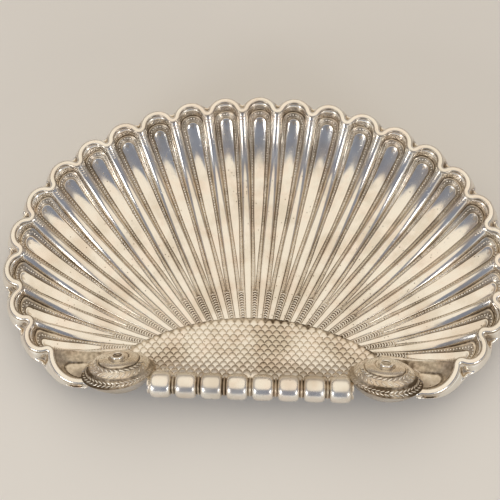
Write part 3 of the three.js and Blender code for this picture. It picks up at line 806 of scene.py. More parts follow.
    def hollowness(self, flute: int, across: Array, run: Array) -> Array:
        """Find where a flute is painted darker: painted shade and tarnish in its chased lines, and
        painted shade at the bead's foot, between the beads and on the ridges' flanks.

        Args:
            flute: The flute's number.
            across: Shares across.
            run: Runs from the hub to the arch's crown.

        Returns:
            How far each point lies in a hollow.
        """
        across, run = np.broadcast_arrays(np.asarray(across, float), np.asarray(run, float))
        size = np.abs(across)
        crown = smooth_step(run, 1.1, 1.5)
        # Painted shade: a dark arc at the foot of the rim's bead round each arch's crown.
        bead_foot = 0.8 * crown * smooth_step(size, 0.94, 0.985)
        if self.is_end(flute):
            # End flutes: darker overall, a darker patch on the open side, painted shade and tarnish in
            # the outer line, and painted shade at the bead's foot.
            open_share = -across if flute == 0 else across
            darkening = 0.3 * bump(run, 0.6, 0.22) * smooth_step(open_share, 0.1, 0.5)
            opened = smooth_step(run, 0.4, 0.7)
            panel = opened * (1 - smooth_step(size, 0.53, 0.57))
            floor = lerp(0.68, 0.42, panel) + 0.2 * (1 - smooth_step(run, 0.2, 1.2))
            return floor + darkening + 0.9 * bump(size, self.outer_shade_line, 0.03) + bead_foot
        opened = self.opened(flute, run)
        # Painted shade and tarnish in the chased lines and rings; painted shade on the band's floor
        # between the beads and along the ridges' flanks.
        grooves = 0.95 * opened * bump(size, self.inner_line, 0.016)
        grooves = grooves + bump(size, self.outer_shade_line, 0.02)
        floor = 0.62 * opened * lerp(0.45, 1.0, smooth_step(run, 0.25, 0.6))
        band = floor * smooth_step(size, 0.39, 0.43) * (1 - smooth_step(size, 0.53, 0.57))
        flank = 0.14 * bump(size, 0.66, 0.06)
        rings = 0.3 * bump(size, self.ring_line, 0.018) * crown
        # Darker in the column of chevrons and at the arch's tip.
        column = 1.1 * (1 - opened) * (1 - smooth_step(size, 0.49, 0.54))
        tip = 0.35 * crown * smooth_step(run, 1.5, 1.9) * (1 - smooth_step(size, 0.2, 0.3))
        return grooves + band + flank + rings + column + bead_foot + tip

    def point(self, flute: int, across: Array, run: Array) -> Array:
        """Return points of the sheet's upper face in a flute's own coordinates."""
        place, from_edge = self.chart(flute, across, run)
        return FORM.sheet_point(place, from_edge, self.relief(flute, across, run))

    def spots(self, flute: int, across: Array, run: Array, size: Array) -> Spots:
        """Stand small shapes on a flute with their tips towards the rim.

        Args:
            flute: The flute's number.
            across: Shares across at which they stand.
            run: Runs at which they stand.
            size: Half widths, half lengths and heights.

        Returns:
            The spots in the drawing's millimetres.
        """
        step = 0.004
        sideways = self.point(flute, across + step, run) - self.point(flute, across - step, run)
        along = self.point(flute, across, run + step) - self.point(flute, across, run - step)
        return Spots(self.point(flute, across, run), frames_of(sideways, along), size)

    def flute_sheet(self, flute: int) -> bpy.types.Object:
        """Lay one flute's grid, whose rows bend round the arch and close along its crown."""
        half = np.array(self.profile)
        across = np.concatenate([-half[:0:-1], half])
        straight = np.linspace(0, 1, self.straight_rows) ** 0.9
        run = np.concatenate([straight, 1 + self.arch_angles(flute) * 2 / np.pi])
        across, run = np.meshgrid(across, run)
        net = self.point(flute, across, run)
        return lay_grid(f"flute_{flute + 1}", net, self.hollowness(flute, across, run))

    def build_sheet(self) -> None:
        """Build the fluted sheet in pieces of a few flutes each."""
        for first in range(0, FORM.flutes, self.flutes_per_piece):
            last = first + self.flutes_per_piece
            flutes = [self.flute_sheet(flute) for flute in range(first, last)]
            piece = join(flutes, f"fluted_sheet_{first + 1}_to_{last}")
            edit(piece, lambda: bpy.ops.mesh.remove_doubles(threshold=WELD * MM))
            apply_modifier(piece, "SOLIDIFY", thickness=FORM.sheet * MM, offset=-1.0)
            smooth(piece, 70)
            self.pieces.append(piece)

    def column_end(self, flute: int) -> float:
        """Return the run at which a flute's column of chevrons ends."""
        length = float(FORM.length(flute + 0.5))
        spring = float(FORM.station(flute + 0.5).beyond) + self.setback(flute)
        return self.column_length / (length - spring)

    def bead_spots(self, flute: int) -> Spots:
        """Space beads evenly along a flute's band, up one side, round the arch and down the other."""
        first = self.column_end(flute) * self.first_bead
        steps = 420
        dense = np.concatenate([np.linspace(first, 2, steps), np.linspace(2, first, steps)[1:]])
        side = np.where(np.arange(dense.size) < steps, -1.0, 1.0)
        path = self.point(flute, side * self.bead_share, dense)
        travelled = np.concatenate([[0], np.cumsum(np.linalg.norm(np.diff(path, axis=0), axis=-1))])
        count = int(travelled[-1] / self.bead_pitch)
        index = np.interp(np.linspace(0, travelled[-1], count), travelled, np.arange(dense.size))
        run = np.minimum(np.interp(index, np.arange(dense.size), dense), 1.995)
        across = np.where(index < steps - 0.5, -1.0, 1.0) * self.bead_share
        radius = self.bead_radius * lerp(0.75, 1.0, smooth_step(run, 0.1, 0.9))
        sizes = np.stack([radius, radius, radius * self.bead_height], axis=-1)
        return self.spots(flute, across, run, sizes)

    def build_beads(self) -> None:
        """Build the rows of beads punched along the bands."""
        for first in range(0, FORM.flutes, self.flutes_per_piece):
            last = first + self.flutes_per_piece
            chased = [flute for flute in range(first, last) if not self.is_end(flute)]
            spots = [self.bead_spots(flute) for flute in chased]
            bead = half_ball(6, 4)
            heights = read_points(bead.data)[:, 2]
            # Painted shade at the foot of each bead, between the beads.
            write_hollow(bead.data, np.where(heights < self.bead_foot, 1.0, 0.0))
            self.pieces.append(copy_over(f"beads_{first + 1}_to_{last}", bead, Spots.gather(spots)))

    def build_chevrons(self) -> None:
        """Build the columns of small overlapping scales at the inner ends of the panels."""
        spots = []
        for flute in range(1, FORM.flutes - 1):
            end = self.column_end(flute)
            count = round(self.column_length / self.chevron_pitch)
            run = np.linspace(0.5, count - 0.5, count) / count * end
            half = lerp(FORM.hub_spacing / 2, FORM.spacing / 2, run) * self.hub_groove_width
            half = np.minimum(half - self.chevron_margin, self.chevron_half_width)
            half = half * np.where(run > end * self.last_chevron, self.last_chevron_size, 1)
            sizes = stroke_sizes(half, self.chevron_half_length, self.chevron_height)
            spots.append(self.spots(flute, np.zeros_like(run), run, sizes))
        self.pieces.append(copy_over("panel_chevrons", bent_stroke(), Spots.gather(spots)))

    def build_crescents(self) -> None:
        """Build the nested crescents on the ridges just inside the rim's notches."""
        spots = []
        rank = np.arange(self.crescents)
        from_edge = self.crescent_inset + self.crescent_pitch * rank
        height = np.full(rank.shape, FORM.ridge_height)
        half = self.crescent_half_width - self.crescent_taper * rank
        sizes = stroke_sizes(half, self.crescent_half_length, self.crescent_height)
        inward_step, side_step = 0.05, 0.01
        for ridge in range(1, FORM.flutes):
            place = np.full(rank.shape, float(ridge))
            at = FORM.sheet_point(place, from_edge, height)
            outwards = FORM.sheet_point(place, from_edge - inward_step, height)
            inwards = FORM.sheet_point(place, from_edge + inward_step, height)
            beside = FORM.sheet_point(place + side_step, from_edge, height)
            other = FORM.sheet_point(place - side_step, from_edge, height)
            spots.append(Spots(at, frames_of(other - beside, inwards - outwards), sizes))
        self.pieces.append(copy_over("spandrel_crescents", bent_stroke(), Spots.gather(spots)))

    def build(self) -> list[bpy.types.Object]:
        """Build all of the fan and return its pieces."""
        self.build_sheet()
        self.build_beads()
        self.build_chevrons()
        self.build_crescents()
        return self.pieces


def stroke_sizes(half_width: Array, half_length: float, height: float) -> Array:
    """Give strokes of several widths one length and one height."""
    return np.stack(
        [half_width, np.full_like(half_width, half_length), np.full_like(half_width, height)], axis=-1
    )


def bent_stroke() -> bpy.types.Object:
    """Model one stroke of the chasing tool: a low crescent that bulges towards +Y."""
    stroke = half_ball(10, 4)
    points = read_points(stroke.data)
    # Painted shade round the low edge of each stroke, where it meets the sheet.
    write_hollow(stroke.data, 0.9 * (1 - points[:, 2]) ** 3)
    points[:, 1] = 0.6 * points[:, 1] + 0.5 - 1.5 * np.abs(points[:, 0]) ** 1.5
    points[:, 2] = points[:, 2] - 0.12
    write_points(stroke.data, points)
    return stroke


def scale_shape(tilt: float) -> bpy.types.Object:
    """Model one fish scale: a low pillow whose round tip, towards +Y, stands up off its seat.

    Args:
        tilt: How far the tip is lifted, as a share of the scale's height.

    Returns:
        The shape, about 1 each way from the origin and longer behind it.
    """
    scale = half_ball(14, 6)
    points = read_points(scale.data)
    rim = 1 - points[:, 2]
    behind = points[:, 1] < -0.1
    width = np.sqrt(np.clip(1 - points[:, 1] ** 2, 0.2, 1))
    points[:, 0] = np.where(behind, 1.25 * points[:, 0] / width, points[:, 0])
    points[:, 1] *= np.where(behind, 1.5, 1)
    points[:, 2] = 0.8 * points[:, 2] ** 0.4
    lift = tilt * (1.5 + points[:, 1])
    points[:, 2] += np.where(points[:, 2] < 0.15, lift - 0.6, lift)
    write_points(scale.data, points)
    # Painted shadow: the tip's edge is darker, a dark outline round each scale's tip.
    write_hollow(scale.data, np.where(behind, 0, 1.6 * rim))
    return scale


@dataclass
class ScaledHub:
    """The lens-shaped field inside the flutes, covered with fish scales that point to the back."""

    columns: int = 96
    rows: int = 40
    pitch: float = 5.95
    row_pitch: float = 4.2
    tip_margin: float = 3.4
    height: float = 1.25
    half_width: float = 0.53
    tilt: float = 0.35
    first_row: float = 4.7
    half_row: int = 18
    arc_margin: float = 0.4
    end_margin: float = 1.1
    front_limit: float = 0.97
    field_shade: float = 0.75
    tuck: tuple[float, float, float] = (0.0, 1.0, -0.5)
    pieces: list[bpy.types.Object] = field(default_factory=list)

    def build_field(self) -> None:
        """Build the sheet under the scales."""
        place = np.linspace(1, FORM.flutes - 1, self.columns)
        share = np.linspace(1, 0, self.rows)
        place, share = np.meshgrid(place, share)
        net = FORM.field(place, share)
        tucked = net[-1] + np.array(self.tuck)
        net = np.concatenate([net, tucked[None]])
        # The field under the scales is painted darker: painted shade in the gaps between them.
        piece = lay_grid("hub_field", net, np.full(net.shape[:2], self.field_shade))
        apply_modifier(piece, "SOLIDIFY", thickness=FORM.sheet * MM, offset=-1.0)
        smooth(piece, 70)
        self.pieces.append(piece)

    def locate(self, x: Array, y: Array) -> tuple[Array, Array]:
        """Find the field's own coordinates of plan points.

        Args:
            x: Each point's X.
            y: Each point's Y.

        Returns:
            The places, and the shares of the way from the hub arc to the front edge.
        """
        share = np.full(x.shape, 0.5)
        for _ in range(30):
            front = FORM.front_half_width / (FORM.middle - 1)
            place = FORM.middle + x / lerp(FORM.hub_spacing, front, np.clip(share, 0, 1))
            place = np.clip(place, 0.5, FORM.flutes - 0.5)
            arc_y = FORM.field(place, np.zeros_like(place))[..., 1]
            share = (arc_y - y) / (arc_y - FORM.front_y)
        return place, share

    def lattice(self) -> tuple[Array, Array]:
        """Return the plan points of the staggered rows, with rows spaced along the slope."""
        share = np.linspace(0, 1, 400)
        line = FORM.field(np.full_like(share, FORM.middle), share)
        travelled = np.concatenate([[0], np.cumsum(np.linalg.norm(np.diff(line, axis=0), axis=-1))])
        xs, ys = [], []
        for row, distance in enumerate(np.arange(self.first_row, travelled[-1] + 1, self.row_pitch)):
            y = np.interp(distance, travelled, line[:, 1])
            x = np.arange(-self.half_row, self.half_row + 1) * self.pitch
            x = x + (row % 2) * self.pitch / 2
            xs.append(x)
            ys.append(np.full_like(x, y))
        return np.concatenate(xs), np.concatenate(ys)

    def build_scales(self) -> None:
        """Build the scales."""
        x, y = self.lattice()
        place, share = self.locate(x, y)
        from_arc = FORM.field(place, np.zeros_like(place))[:, 1] - y
        kept = (place > self.end_margin) & (place < FORM.flutes - self.end_margin)
        kept = kept & (from_arc > self.arc_margin) & (share < self.front_limit)
        x, y = x[kept], y[kept] - np.maximum(self.tip_margin - from_arc[kept], 0)
        place, share = self.locate(x, y)
        step = 0.01
        at = FORM.field(place, share)
        across = FORM.field(place + step, share) - FORM.field(place - step, share)
        back = FORM.field(place, share - step) - FORM.field(place, share + step)
        tip = np.stack([back[:, 0] * 0.3, back[:, 1], back[:, 2]], axis=-1)
        frames = frames_of(across, tip)
        size = np.array([self.pitch * self.half_width, self.pitch * self.half_width, self.height])
        spots = Spots(at, frames, np.broadcast_to(size, at.shape))
        self.pieces.append(copy_over("hub_scales", scale_shape(self.tilt), spots))

    def build(self) -> list[bpy.types.Object]:
        """Build the hub and return its pieces."""
        self.build_field()
        self.build_scales()
        return self.pieces


@dataclass
class LobedRim:
    """The applied border: a bead on the crest, and a lip that turns out and down round each lobe."""

    lip_reach: float = 5.0
    lip_notch_reach: float = 10.5
    lip_drop: float = 8.2
    lip_end_reach: float = 3.5
    lip_end_drop: float = 4.0
    lip_end_share: float = 0.6
    lip_thickness: float = 1.3
    lip_swell: float = 1.2
    bead_half_width: float = 2.5
    bead_half_height: float = 1.8
    bead_offset: float = 2.1
    pocket_depth: float = 3.2
    pocket_half_length: float = 3.6
    tip_length: float = 3.2
    tip_turns_deg: tuple[float, ...] = (25, 48, 68, 84, 90)
    stations_per_flute: int = 40
    lip_points: int = 14
    pieces: list[bpy.types.Object] = field(default_factory=list)

    def places(self) -> Array:
        """Return places along the rim, closer together in the notches."""
        steps = np.linspace(-1, 1, self.stations_per_flute + 1)[:-1]
        shares = np.sin(steps * np.pi / 2)
        flutes = np.arange(FORM.flutes)[:, None]
        return np.append((flutes + (shares + 1) / 2).ravel(), FORM.flutes)

    def sections(self, place: Array) -> tuple[Array, Array]:
        """Shape the border's section.

        Args:
            place: Places along the rim.

        Returns:
            Rings of points from under the sheet's edge, over the bead and the lip and back, and how
            far each point lies in a hollow, which paints shade under the edge, on the bead's flanks, at
            its foot and in the pockets.
        """
        station = FORM.station(place)
        top = FORM.sheet_point(place, np.zeros_like(place), np.full_like(place, FORM.ridge_height))
        flat = np.zeros(place.shape + (1,))
        outward = np.concatenate([station.outward, flat], axis=-1)
        normal = np.concatenate([station.normal, flat], axis=-1)
        up = np.array([0.0, 0.0, 1.0])
        lobed = 1 - np.abs(station.share) ** 2.5
        from_end = np.clip(np.minimum(place, FORM.flutes - place) / self.lip_end_share, 0, 1)
        opened = np.sin(from_end * np.pi / 2)
        reach = lerp(self.lip_notch_reach, station.bulge + self.lip_reach, lobed)
        reach = lerp(self.lip_end_reach, reach, opened)
        base = np.concatenate([station.base, top[:, 2:]], axis=-1)
        drop = lerp(self.lip_end_drop, self.lip_drop, opened)
        lip_edge = base + normal * reach[:, None] - up * drop[:, None]
        rings, hollows = [], []

        def add(points: Array, hollow: Array | float) -> None:
            """Add one point to each ring."""
            rings.append(points)
            hollows.append(np.broadcast_to(hollow, place.shape))

        def bead(angle_deg: float) -> Array:
            """Return the bead's points at an angle from straight out."""
            angle = math.radians(angle_deg)
            out = self.bead_offset + self.bead_half_width * math.cos(angle)
            return top + outward * out + up * (self.bead_half_height * math.sin(angle) - 0.3)

        # Painted shade under the sheet's edge and in the crease where the bead meets it.
        add(top - up * FORM.sheet + outward * 0.1, 0.7)
        add(top - up * 0.25 + outward * 0.05, 0.9)
        # Painted shade on the bead's flanks, lighter on its top.
        for angle_deg in range(165, 0, -20):
            add(bead(angle_deg), 0.75 * abs(angle_deg - 85) ** 3 / 80**3)
        shoulder = bead(-25)
        pocket_along = (1 - np.abs(station.share)) * station.half_chord
        pocket = np.exp(-((pocket_along / self.pocket_half_length) ** 4)) * opened
        end_pocket = bump(from_end, 0.3, 0.2)
        ends = 0.8 * self.pocket_depth * end_pocket
        for q in np.linspace(0, 1, self.lip_points):
            swell = self.lip_swell * math.sin(math.pi * q) * lobed * opened
            hole = math.exp(-(((q - 0.5) / 0.3) ** 4))
            sink = (pocket * self.pocket_depth + ends) * hole
            roll = 0.5 * math.exp(-(((q - 0.9) / 0.1) ** 2))
            points = lerp(shoulder, lip_edge, q) + up * (swell - sink + roll)[:, None]
            # Painted shade: a dark line at the bead's foot, and in the sunk pockets.
            dark = 0.85 * math.exp(-((q / 0.09) ** 2))
            add(points, np.maximum(dark, 0.75 * hole * np.maximum(pocket, end_pocket)))
        inward = -normal * self.lip_thickness
        # Painted shade on the lip's underside.
        add(lip_edge + inward * 0.15 - up * self.lip_thickness * 0.55, 0.1)
        add(lip_edge + inward - up * self.lip_thickness * 0.6, 0.4)
        middle = lerp(shoulder, lip_edge, 0.5)
        sunk = (lobed * self.lip_swell - pocket * self.pocket_depth - ends)[:, None]
        add(middle + inward + up * (sunk - self.lip_thickness), 0.4)
        add(top - up * (FORM.sheet + self.lip_thickness) + outward * 1.6, 0.5)
        return np.stack(rings, axis=1), np.stack(hollows, axis=1)

    def rounded_end(self, net: Array, hollow: Array) -> tuple[Array, Array]:
        """Close both ends of the border with a few rings that shrink to a rounded tip.

        Args:
            net: Rings of points from one end to the other.
            hollow: How far each point lies in a hollow.

        Returns:
            The rings and the hollows with those of both tips.
        """
        turns = np.radians(self.tip_turns_deg)

        def tip(ring: Array, inner: Array) -> Array:
            """Shape the rings beyond one end.

            Args:
                ring: The border's last ring at that end.
                inner: The ring next to it.

            Returns:
                Rings that shrink to the tip.
            """
            centre = ring.mean(axis=0)
            ahead = unit(centre - inner.mean(axis=0)) * self.tip_length
            rings = [
                centre + (ring - centre) * math.cos(turn) + ahead * math.sin(turn) for turn in turns
            ]
            return np.stack(rings)

        first, last = tip(net[0], net[1])[::-1], tip(net[-1], net[-2])
        # The tips take half of the end ring's painted shade.
        dark = np.repeat(hollow[:1] * 0.5, len(turns), axis=0)
        return np.concatenate([first, net, last]), np.concatenate([dark, hollow, dark])

    def build(self) -> list[bpy.types.Object]:
        """Build the border in two halves and return them."""
        net, hollow = self.sections(self.places())
        net, hollow = self.rounded_end(net, hollow)
        net = np.concatenate([net, net[:, :1]], axis=1)
        hollow = np.concatenate([hollow, hollow[:, :1]], axis=1)
        half = len(net) // 2
        for side, part in ((Side.LEFT, slice(0, half + 1)), (Side.RIGHT, slice(half, None))):
            piece = lay_grid(f"lobed_rim_{side.label}", net[part, ::-1], hollow[part, ::-1])
            smooth(piece, 75)
            self.pieces.append(piece)
        return self.pieces


@dataclass
class GadroonFront:
    """The row of gadroons that rolls over the front edge, with a reeded strip between each two."""

    count: int = 8
    radius: float = 9.7
    lobe_height: float = 3.0
    lobe_half_width: float = 7.7
    wall: float = 1.8
    overhang: float = 5.0
    below_edge: float = 2.5
    start_deg: float = -25.0
    end_deg: float = 235.0
    lobe_fullness: float = 3.6
    corner_depth: float = 4.5
    corner_start: float = 1.5
    back_rounding: float = 7.0
    reed_height: float = 0.8
    reed_width: float = 0.5
    groove_depth: float = 0.5
    groove_place: float = 1.2
    groove_width: float = 0.4
    groove_shade_width: float = 0.6
    steps_per_lobe: int = 44
    arc_steps: int = 44
    pieces: list[bpy.types.Object] = field(default_factory=list)

    def surface(self, x: Array, angle: Array, radius: Array) -> Array:
        """Return points at an angle round the rolled edge."""
        y = FORM.front_y - self.overhang + radius * np.cos(angle)
        z = FORM.floor + FORM.front_rise - self.below_edge + radius * np.sin(angle)
        return np.stack([x, y, z], axis=-1)

    def build(self) -> list[bpy.types.Object]:
        """Build the border as one rolled wall and return it."""
        width = 2 * FORM.front_half_width
        pitch = width / self.count
        x = np.linspace(-width / 2, width / 2, self.count * self.steps_per_lobe + 1)
        angle = np.radians(np.linspace(self.end_deg, self.start_deg, self.arc_steps))
        x, angle = np.meshgrid(x, angle, indexing="ij")
        local = (x + width / 2) % pitch - pitch / 2
        share = np.clip(np.abs(local) / self.lobe_half_width, 0, 1)
        arc = self.radius * angle
        corner = self.corner_depth * (1 - np.sqrt(1 - share**2)) - self.corner_start
        from_back = 1 - np.clip((arc - corner) / self.back_rounding, 0, 1)
        rounded_back = np.sqrt(1 - from_back**2)
        crown = np.sqrt(np.clip(1 - share**self.lobe_fullness, 0, 1))
        lobe = self.lobe_height * crown * rounded_back
        from_strip = pitch / 2 - np.abs(local)
        between = np.abs(x) < (width - pitch) / 2
        reed = self.reed_height * bump(from_strip, 0, self.reed_width) * between
        groove = self.groove_depth * bump(from_strip, self.groove_place, self.groove_width) * between
        outer = self.radius - self.lobe_height + lobe + reed - groove
        # Painted shade and tarnish along the grooves between the lobes, weaker at the two ends.
        hollow = bump(from_strip, self.groove_place, self.groove_shade_width) * lerp(0.3, 1.0, between)
        net = self.surface(x, angle, outer)
        inner_radius = np.full_like(outer, self.radius - self.lobe_height - self.wall)
        inside = self.surface(x, angle, inner_radius)[:, ::-1]
        net = np.concatenate([net, inside, net[:, :1]], axis=1)
        # The inner wall is painted darker: painted shade.
        hollow = np.concatenate([hollow, np.full(x.shape, 0.5), hollow[:, :1]], axis=1)
        piece = lay_grid("gadroons", net, hollow)
        self.close_ends(piece)
        smooth(piece, 75)
        self.pieces.append(piece)
        return self.pieces

    def close_ends(self, piece: bpy.types.Object) -> None:
        """Fill the border's two open ends."""
        pick(piece)
        bpy.ops.object.mode_set(mode="EDIT")
        bpy.ops.mesh.select_mode(type="EDGE")
        bpy.ops.mesh.select_all(action="DESELECT")
        bpy.ops.mesh.select_non_manifold(extend=False)
        bpy.ops.mesh.fill_holes(sides=0)
        bpy.ops.object.mode_set(mode="OBJECT")


@dataclass
class Volute:
    """One scrolled corner: a domed spiral of chased bands round a button, on a tapering skirt."""

    side: Side
    beside_front: float = 22.6
    behind_edge: float = 4.0
    below_edge: float = 2.2
    radius: float = 28.0
    aspect: float = 0.9
    rise: float = 12.5
    rounding: float = 2.6
    lean_deg: float = 42.0
    yaw_deg: float = 3.0
    inner_radius: float = 25.5
    turn_pitch: float = 7.9
    first_groove: float = 30.2
    back_fall: float = 0.88
    groove_depth: float = 1.15
    wall: float = 0.55
    seat_depth: float = 0.6
    skirt_bottom: float = 25.0
    skirt_slack: float = 6.0
    skirt_taper: float = 0.6
    skirt_swell: float = 0.03
    skirt_rows: int = 13
    flare: float = 6.0
    button_radius: float = 5.2
    button_height: float = 2.6
    dimple_radius: float = 3.3
    dimple_depth: float = 2.2
    columns: int = 180
    rows: int = 110
    first_leaf: float = 0.35
    last_leaf: float = 2.35
    leaf_turns: tuple[float, float] = (0.5, 0.99)
    narrowest_band: float = 2.0
    leaf_pitch: float = 3.8
    leaf_half_width: float = 3.7
    leaf_half_length: float = 0.78
    leaf_height: float = 0.6
    pieces: list[bpy.types.Object] = field(default_factory=list)

    @cached_property
    def matrix(self) -> Array:
        """The dome's own frame, which leans back."""
        x = self.side.value * (FORM.front_half_width + self.beside_front)
        z = FORM.floor + FORM.front_rise - self.below_edge
        place = Matrix.Translation((x, FORM.front_y + self.behind_edge, z))
        yaw = Matrix.Rotation(-self.side.value * math.radians(self.yaw_deg), 4, "Z")
        return np.array(place @ yaw @ Matrix.Rotation(-math.radians(self.lean_deg), 4, "X"))

    def dome_rise(self, radius: Array) -> Array:
        """Return the dome's height at a radius, without its bands."""
        return self.rise * (1 - np.clip(radius / self.radius, 0, 1) ** self.rounding)

    def point(self, turn: Array, radius: Array, lift: Array) -> Array:
        """Return points of the dome in the drawing.

        Args:
            turn: Parts of a turn from the outer side over the back.
            radius: Distances from the dome's middle across its width.
            lift: Heights above the plain dome.

        Returns:
            Points in millimetres.
        """
        angle = 2 * np.pi * turn
        x = self.side.value * radius * np.cos(angle)
        y = radius * self.aspect * np.sin(angle)
        local = np.stack([x, y, self.dome_rise(radius) + lift], axis=-1)
        return local @ self.matrix[:3, :3].T + self.matrix[:3, 3]

    def outline(self, turn: Array) -> Array:
        """Return the dome's radius, which is smaller towards the gadroons."""
        inward = (1 - np.cos(2 * np.pi * turn)) / 2
        return lerp(self.radius, self.inner_radius, inward**2)

    def wind(self, turn: Array) -> Array:
        """Return how much of a turn's fall is done: most of it over the back."""
        back = np.clip(turn * 2, 0, 1)
        front = np.clip(turn * 2 - 1, 0, 1)
        return self.back_fall * back + (1 - self.back_fall) * front

    def groove(self, band: Array, turn: Array) -> Array:
        """Return the radius of the groove outside a band."""
        radius = self.first_groove - self.turn_pitch * (band - 1 + self.wind(turn))
        return np.clip(radius, self.button_radius, self.outline(turn))

    def bands(self, turn: Array, radius: Array) -> tuple[Array, Array]:
        """Shape the spiral's bands.

        Args:
            turn: Parts of a turn from the outer side over the back.
            radius: Distances from the dome's middle.

        Returns:
            Their heights above the plain dome, and how far each point lies in a groove, which paints a
            shadow line along each band's edges.
        """
        fall = (self.first_groove - radius) / self.turn_pitch
        band = np.maximum(np.floor(fall - self.wind(turn) + 1), 1)
        outer = self.groove(band, turn)
        inner = self.groove(band + 1, turn)
        share = np.clip((outer - radius) / np.maximum(outer - inner, 1e-6), 0, 1)
        width = np.clip((outer - inner) / self.turn_pitch, 0, 1)
        crown = np.sin(np.pi * share**0.42) ** 0.5
        lift = self.groove_depth * (width * crown - 1)
        real = smooth_step(self.outline(turn) - outer, 0.1, 1.4)
        real = real * lerp(0.5, 1.0, smooth_step(turn, 0.56, 0.7))
        # Painted shadow lines along the edges of each band, where one band steps down to the next.
        dark = real * np.exp(-((share * width / 0.1) ** 2))
        dark = dark + np.exp(-(((1 - share) * width / 0.06) ** 2))
        # Darker over the turns that carry the leaves.
        veined = 0.3 * smooth_step(turn, 0.48, 0.56) * (1 - smooth_step(turn, 0.94, 1.0))
        return lift, np.maximum(dark, veined * np.clip(width * 2, 0, 1))

    def foot_height(self, probe: SheetProbe, point: Array) -> float:
        """Find how low the skirt reaches: to the sheet, or level with the gadroons.

        Args:
            probe: Finds the sheet.
            point: The skirt's foot, before it drops.

        Returns:
            The height of its lower edge.
        """
        sheet = probe.below(point)
        bottom = self.skirt_bottom
        if sheet is not None:
            bottom = max(sheet - self.seat_depth, self.skirt_bottom - self.skirt_slack)
        return min(bottom, point[2] - 0.5)

    def skirt(self, probe: SheetProbe, turn: Array, rim: Array) -> Array:
        """Shape the skirt, which flares out at the back and never sinks through the sheet.

        Args:
            probe: Finds the sheet.
            turn: Parts of a turn at which the rim's points lie.
            rim: The dome's outermost ring.

        Returns:
            The skirt's rings from the lowest up.
        """
        level = np.array([1.0, 1.0, 0.0])
        axis = self.matrix[:3, 3] * level
        outwards = unit((rim - axis) * level)
        flared = smooth_step(turn, 0.0, 0.12) * (1 - smooth_step(turn, 0.5, 0.6))
        reach = self.flare * flared * lerp(1.0, 0.5, smooth_step(turn, 0.3, 0.5))
        feet = rim + outwards * reach[:, None]
        bottoms = np.array([self.foot_height(probe, point) for point in feet])
        rings = []
        for share in np.linspace(1, 0, self.skirt_rows + 1)[:-1]:
            fallen = lerp(share, 1 - (1 - share) ** 1.8, flared)
            height = lerp(rim[:, 2], bottoms, fallen)
            taper = lerp(1.0, self.skirt_taper, 1 - height / rim[:, 2])
            swell = self.skirt_swell * np.sin(np.pi * share)
            plan = axis[:2] + (rim[:, :2] - axis[:2]) * (taper + swell)[:, None]
            plan = lerp(plan, lerp(rim, feet, share)[:, :2], flared[:, None])
            for column in np.flatnonzero(flared > 0):
                sheet = probe.below((*plan[column], height[column]))
                if sheet is not None:
                    height[column] = max(height[column], sheet - self.seat_depth)
            rings.append(np.concatenate([plan, height[:, None]], axis=-1))
        return np.stack(rings)

    def build_dome(self, probe: SheetProbe) -> None:
        """Build the dome with its skirt."""
        turn = np.linspace(0, 1, self.columns + 1)
        turns, inwards = np.meshgrid(turn, np.linspace(0, 1, self.rows))
        radii = lerp(self.outline(turns), self.button_radius - 1, inwards)
        lift, dark = self.bands(turns, radii)
        net = self.point(turns, radii, lift)
        skirt = self.skirt(probe, turn, net[0])
        net = np.concatenate([skirt, net])
        # The skirt under the dome is painted darker: painted shade.
        dark = np.concatenate([np.full(skirt.shape[:2], 0.3), dark])
        if self.side is Side.RIGHT:
            net, dark = net[:, ::-1], dark[:, ::-1]
        piece = lay_grid(f"volute_dome_{self.side.label}", net[:, ::-1], dark[:, ::-1])
        apply_modifier(piece, "SOLIDIFY", thickness=self.wall * MM, offset=-1.0)
        smooth(piece, 70)
        self.pieces.append(piece)

    def build_leaves(self) -> None:
        """Build the pairs of small leaves chased along each band."""
        origins, frames, sizes = [], [], []
        position = self.first_leaf
        while position < self.last_leaf:
            band = math.floor(position)
            turn = position - band
            outer = float(self.groove(np.array(band), np.array(turn)))
            inner = float(self.groove(np.array(band + 1), np.array(turn)))
            middle = lerp(outer, inner, 0.5)
            width = outer - inner
            circle = 2 * np.pi * middle * 0.9
            step = 0.002
            if width > self.narrowest_band and self.leaf_turns[0] < turn < self.leaf_turns[1]:
                at = np.array(turn), np.array(middle)
                here = self.point(*at, self.bands(*at)[0])
                ahead = self.point(at[0] + step, at[1], self.bands(*at)[0])
                outwards = self.point(at[0], at[1] + 0.2, self.bands(*at)[0])
                tip = here - ahead
                across = (here - outwards) * self.side.value
                origins.append(here)
                frames.append(frames_of(across, tip))
                size = width / self.turn_pitch
                length = self.leaf_pitch * self.leaf_half_length * size**0.4
                sizes.append([size * self.leaf_half_width, length, self.leaf_height * size])
            position += self.leaf_pitch * max(width / self.turn_pitch, 0.45) ** 0.4 / circle
        spots = Spots(np.array(origins), np.array(frames), np.array(sizes))
        self.pieces.append(copy_over(f"volute_leaves_{self.side.label}", leaf_pair(), spots))

    def build_button(self) -> bpy.types.Object:
        """Build the button: a short turned drum with a rolled edge and a sunk middle."""
        clear_selection()
        depth = self.button_height + 2.0
        bpy.ops.mesh.primitive_cylinder_add(vertices=48, radius=self.button_radius, depth=depth)
        button = named(bpy.context.object, f"button_{self.side.label}")
        inset = self.button_radius - self.dimple_radius

        def is_top(face: bpy.types.MeshPolygon) -> bool:
            """Tell whether a face is the top one."""
            return face.normal.z > 0.9 and face.area > 1

